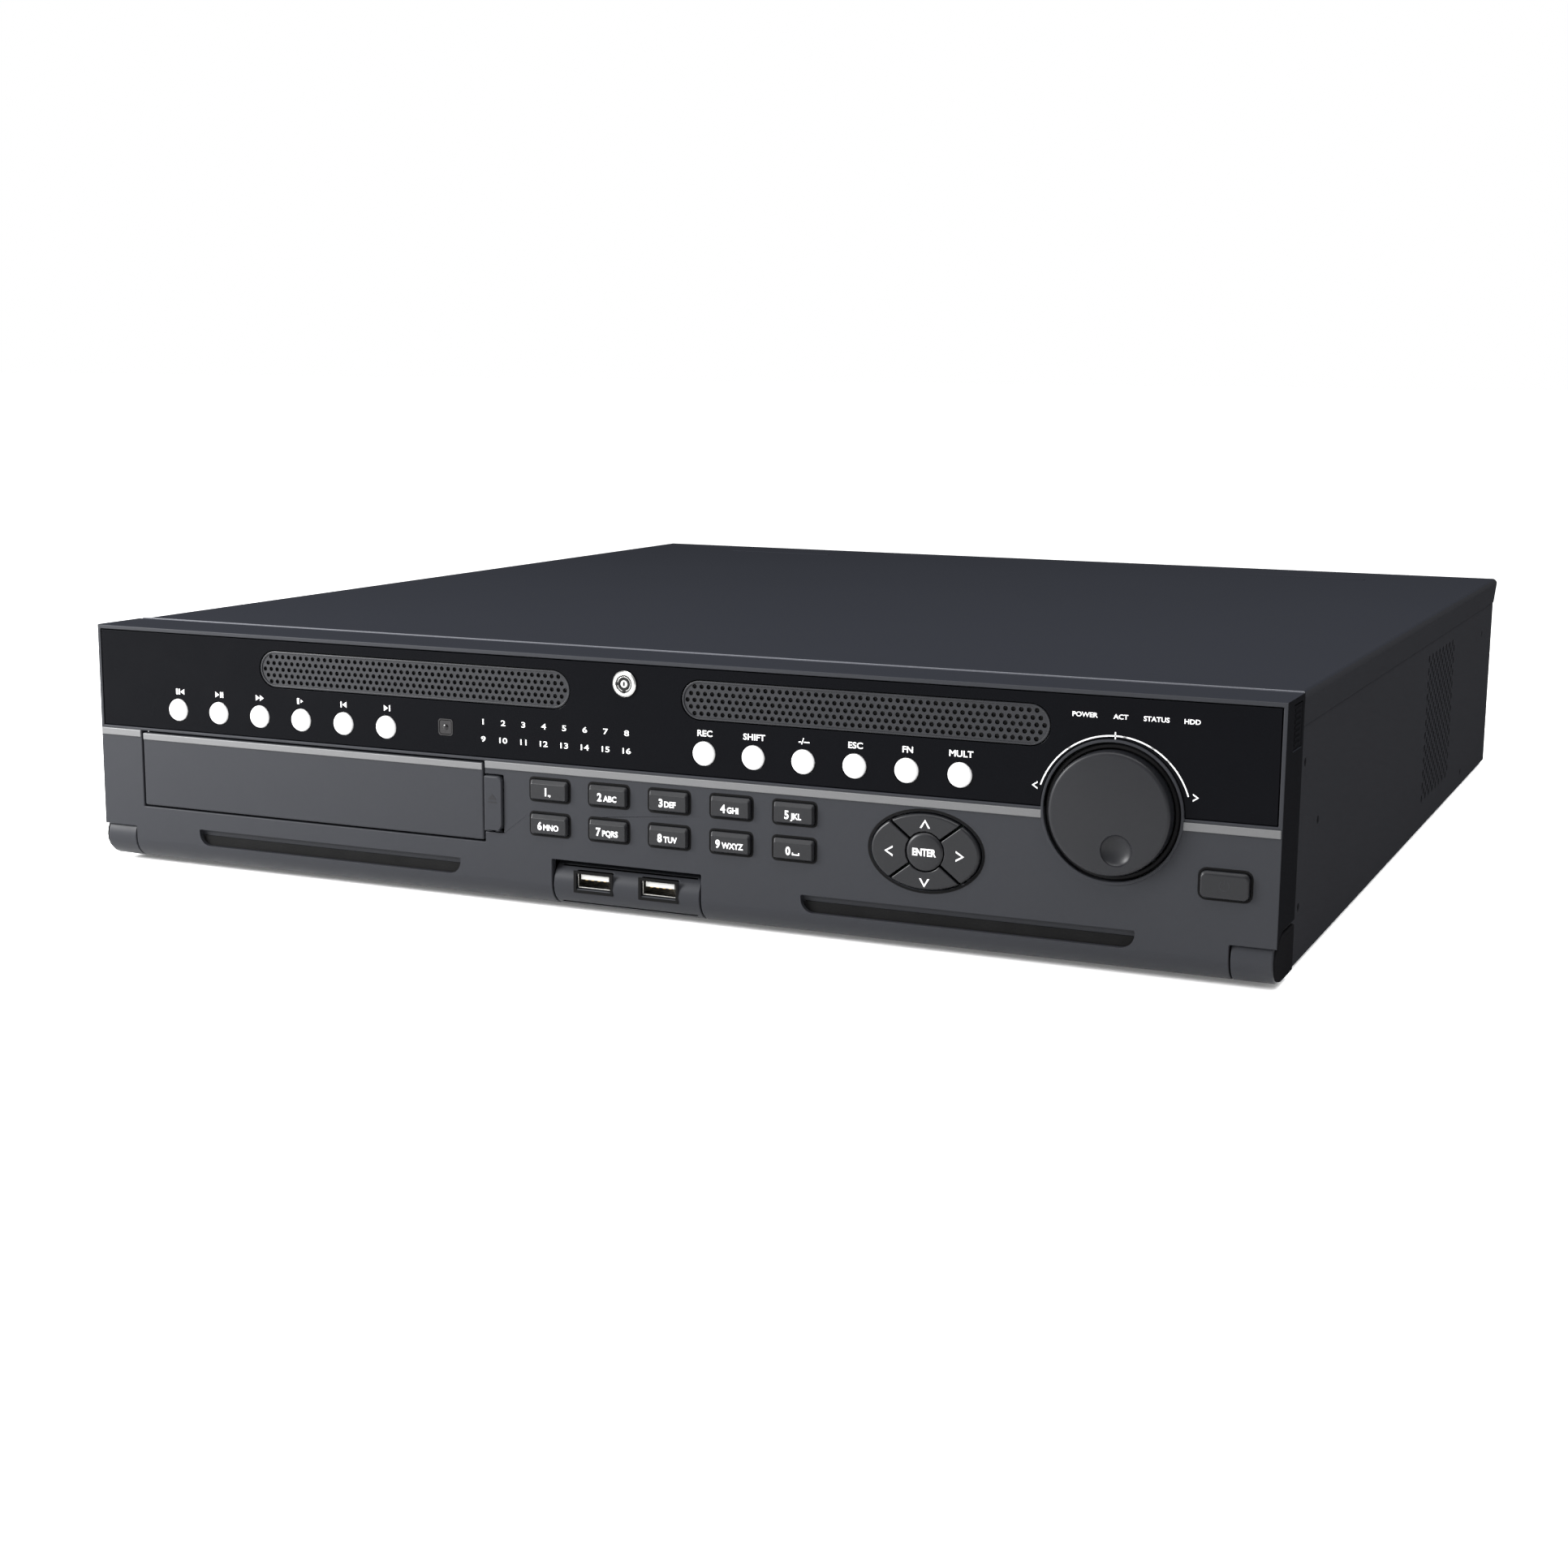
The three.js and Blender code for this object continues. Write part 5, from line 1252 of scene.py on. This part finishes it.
# ---------------------------------------------------------------- key lock
# A nickel-plated lock with a round keyway, fixed through the fascia with a nut behind.
# The inner plug turns with the key and swings the cam that holds the door shut.
STUD_PLACE = 3.2
STUD_HALF = 0.35
chrome = finish("lock_nickel", (0.25, 0.25, 0.245), 0.26, 0.4, 0.006, drift=0.05, metallic=1.0)
keyway_dark = finish("keyway_shadow", (0.003, 0.003, 0.003), 0.5, 0.4, 0.01, sheen=0.1)
lock_low, lock_high = span("lock_barrel")
lock_x, lock_z = middle(lock_low, lock_high)
barrel = bmesh.new()
turned(
    barrel,
    [
        (2.75, lock_high.y), (2.75, lock_low.y + 0.3), (3.0, lock_low.y), (4.0, lock_low.y),
        (4.4, lock_low.y + 0.35), (4.4, lock_low.y + 1.5), (3.9, lock_low.y + 1.5), (3.9, lock_high.y),
        (2.75, lock_high.y),
    ],
    (lock_x, 0, lock_z),
    steps=48,
)
for stud_x, stud_z in ((lock_x - STUD_PLACE, lock_z), (lock_x, lock_z - STUD_PLACE)):
    block(
        barrel,
        (stud_x - STUD_HALF, lock_low.y - 0.02, stud_z - STUD_HALF),
        (stud_x + STUD_HALF, lock_low.y + 0.1, stud_z + STUD_HALF),
    )
finished("lock_flange", barrel, chrome, "front_door", ["lock_barrel"])
dressed("lock_turning_plug", "lock_plug", chrome, "lock_core", 0.1)
keyway = bmesh.new()
turned(
    keyway,
    [
        (1.5, lock_low.y + 0.1), (2.1, lock_low.y + 0.1), (2.1, lock_low.y - 0.04),
        (1.5, lock_low.y - 0.04), (1.5, lock_low.y + 0.1),
    ],
    (lock_x, 0, lock_z),
    steps=32,
)
for lug_x, lug_z, lug_wide, lug_tall in ((-2.5, 0, 1.2, 0.9), (0, -2.5, 0.9, 1.2), (0, 0, 0.35, 1.3)):
    block(
        keyway,
        (lock_x + lug_x - lug_wide / 2, lock_low.y - 0.06, lock_z + lug_z - lug_tall / 2),
        (lock_x + lug_x + lug_wide / 2, lock_low.y + 0.1, lock_z + lug_z + lug_tall / 2),
    )
finished("lock_keyway", closed(keyway), keyway_dark, "lock_core")

# ---------------------------------------------------------------- side latches
# Two sprung tabs in the ends of the door, ribbed for the finger, with tongues into the bulkhead.
# Squeezing both frees the door.
RIB_COUNT = 7
for end, side in (("left", -1), ("right", 1)):
    # The tabs and their ribs take the same near-black painted shade as the door's ends.
    dressed("latch_tab_" + end, "door_latch_" + end, door_shade_paint, "latch_" + end, 0.2)
    latch_low, latch_high = span("door_latch_" + end)
    face_x = latch_high.x if side > 0 else latch_low.x
    grip = bmesh.new()
    for rib in range(RIB_COUNT):
        rib_z = latch_low.z + 1.4 + rib * (latch_high.z - latch_low.z - 2.8) / (RIB_COUNT - 1)
        block(
            grip,
            (min(face_x - side * 0.1, face_x + side * 0.3), latch_low.y + 1.2, rib_z - 0.45),
            (max(face_x - side * 0.1, face_x + side * 0.3), latch_low.y + 9.4, rib_z + 0.45),
        )
    rounded_edges(finished("latch_ribs_" + end, grip, door_shade_paint, "latch_" + end), 0.12)

# ---------------------------------------------------------------- printing on the fascia
# White screen-printed words, numbers and transport marks, a few hundredths of a millimetre thick.
# An arc with two arrowheads shows which way the ring turns; a small window hides the receiver.
fascia_front = span("fascia_panel")[0].y
prints = bmesh.new()
for function, words in zip(FUNCTIONS[6:], ("REC", "SHIFT", "-/--", "ESC", "FN", "MULT")):
    button_x = middle(*span("button_" + function))[0]
    printed(prints, words, button_x + 0.4, 66.25, 2.05, fascia_front, 0.03, 1.12)
NUMERAL_START = -54.9
NUMERAL_STEP = 7.93
for channel in range(16):
    numeral_x = NUMERAL_START + channel % 8 * NUMERAL_STEP
    printed(prints, str(channel + 1), numeral_x, 64.2 if channel < 8 else 58.2, 1.95, fascia_front, 0.02, 1.45)
for words, word_x in (("POWER", 158.3), ("ACT", 169.5), ("STATUS", 180.6), ("HDD", 191.6)):
    printed(prints, words, word_x, 81.4, 1.5, fascia_front, 0.03, 1.12)
arc_band(prints, dial_x + 0.3, 51.0, 24.4, 0.45, 18, 162, fascia_front, 60)
stamp(
    prints,
    [(dial_x + 0.1, 74.3), (dial_x + 0.5, 74.3), (dial_x + 0.5, 76.6), (dial_x + 0.1, 76.6)],
    fascia_front,
)
chevron(prints, 142.9, 58.3, 90, 1.25, 0.4, fascia_front, 0.75)
chevron(prints, 193.5, 58.4, 270, 1.25, 0.4, fascia_front, 0.75)
MARK_Z = 66.2
MARK_HALF = 1.05
ARROWHEADS = ((-182.2, -1, 1), (-166.6, 1, 1), (-148.8, 1, 1), (-147.0, 1, 1))
ARROWHEADS += ((-129.7, 1, 0.6), (-111.6, -1, 1), (-94.3, 1, 1))
BARS = ((-184.6, 0.8), (-183.5, 0.5), (-165.1, 0.5), (-164.2, 0.5))
BARS += ((-131.3, 0.9), (-113.0, 0.5), (-92.8, 0.5))
for mark_x, way, share in ARROWHEADS:
    half = MARK_HALF * share
    reach = way * half * 0.8
    stamp(
        prints,
        [(mark_x - reach, MARK_Z + half), (mark_x - reach, MARK_Z - half), (mark_x + reach, MARK_Z)],
        fascia_front,
    )
for mark_x, wide in BARS:
    stamp(
        prints,
        [
            (mark_x - wide / 2, MARK_Z - MARK_HALF), (mark_x + wide / 2, MARK_Z - MARK_HALF),
            (mark_x + wide / 2, MARK_Z + MARK_HALF), (mark_x - wide / 2, MARK_Z + MARK_HALF),
        ],
        fascia_front,
    )
finished("fascia_print", closed(prints), ink_white, "front_door")
RECEIVER = (-70.0, 61.2)
receiver = bmesh.new()
plate(
    receiver,
    [
        rounded_oblong(RECEIVER[0], RECEIVER[1], 5.8, 5.8, 1.0, 4),
        rounded_oblong(RECEIVER[0], RECEIVER[1], 5.0, 5.0, 0.8, 4),
    ],
    fascia_front - 0.12,
    0.2,
)
plate(receiver, [rounded_oblong(RECEIVER[0], RECEIVER[1], 4.6, 4.6, 0.6, 4)], fascia_front - 0.04, 0.1)
turned(
    receiver,
    [(0, fascia_front - 0.5), (0.8, fascia_front - 0.38), (1.25, fascia_front), (0, fascia_front)],
    (RECEIVER[0], 0, RECEIVER[1]),
    steps=20,
)
receiver_glass = finish("receiver_window", (0.0045, 0.004, 0.0045), 0.2, 0.5, 0.004, sheen=0.15)
finished("receiver_window", closed(receiver), receiver_glass, "front_door")
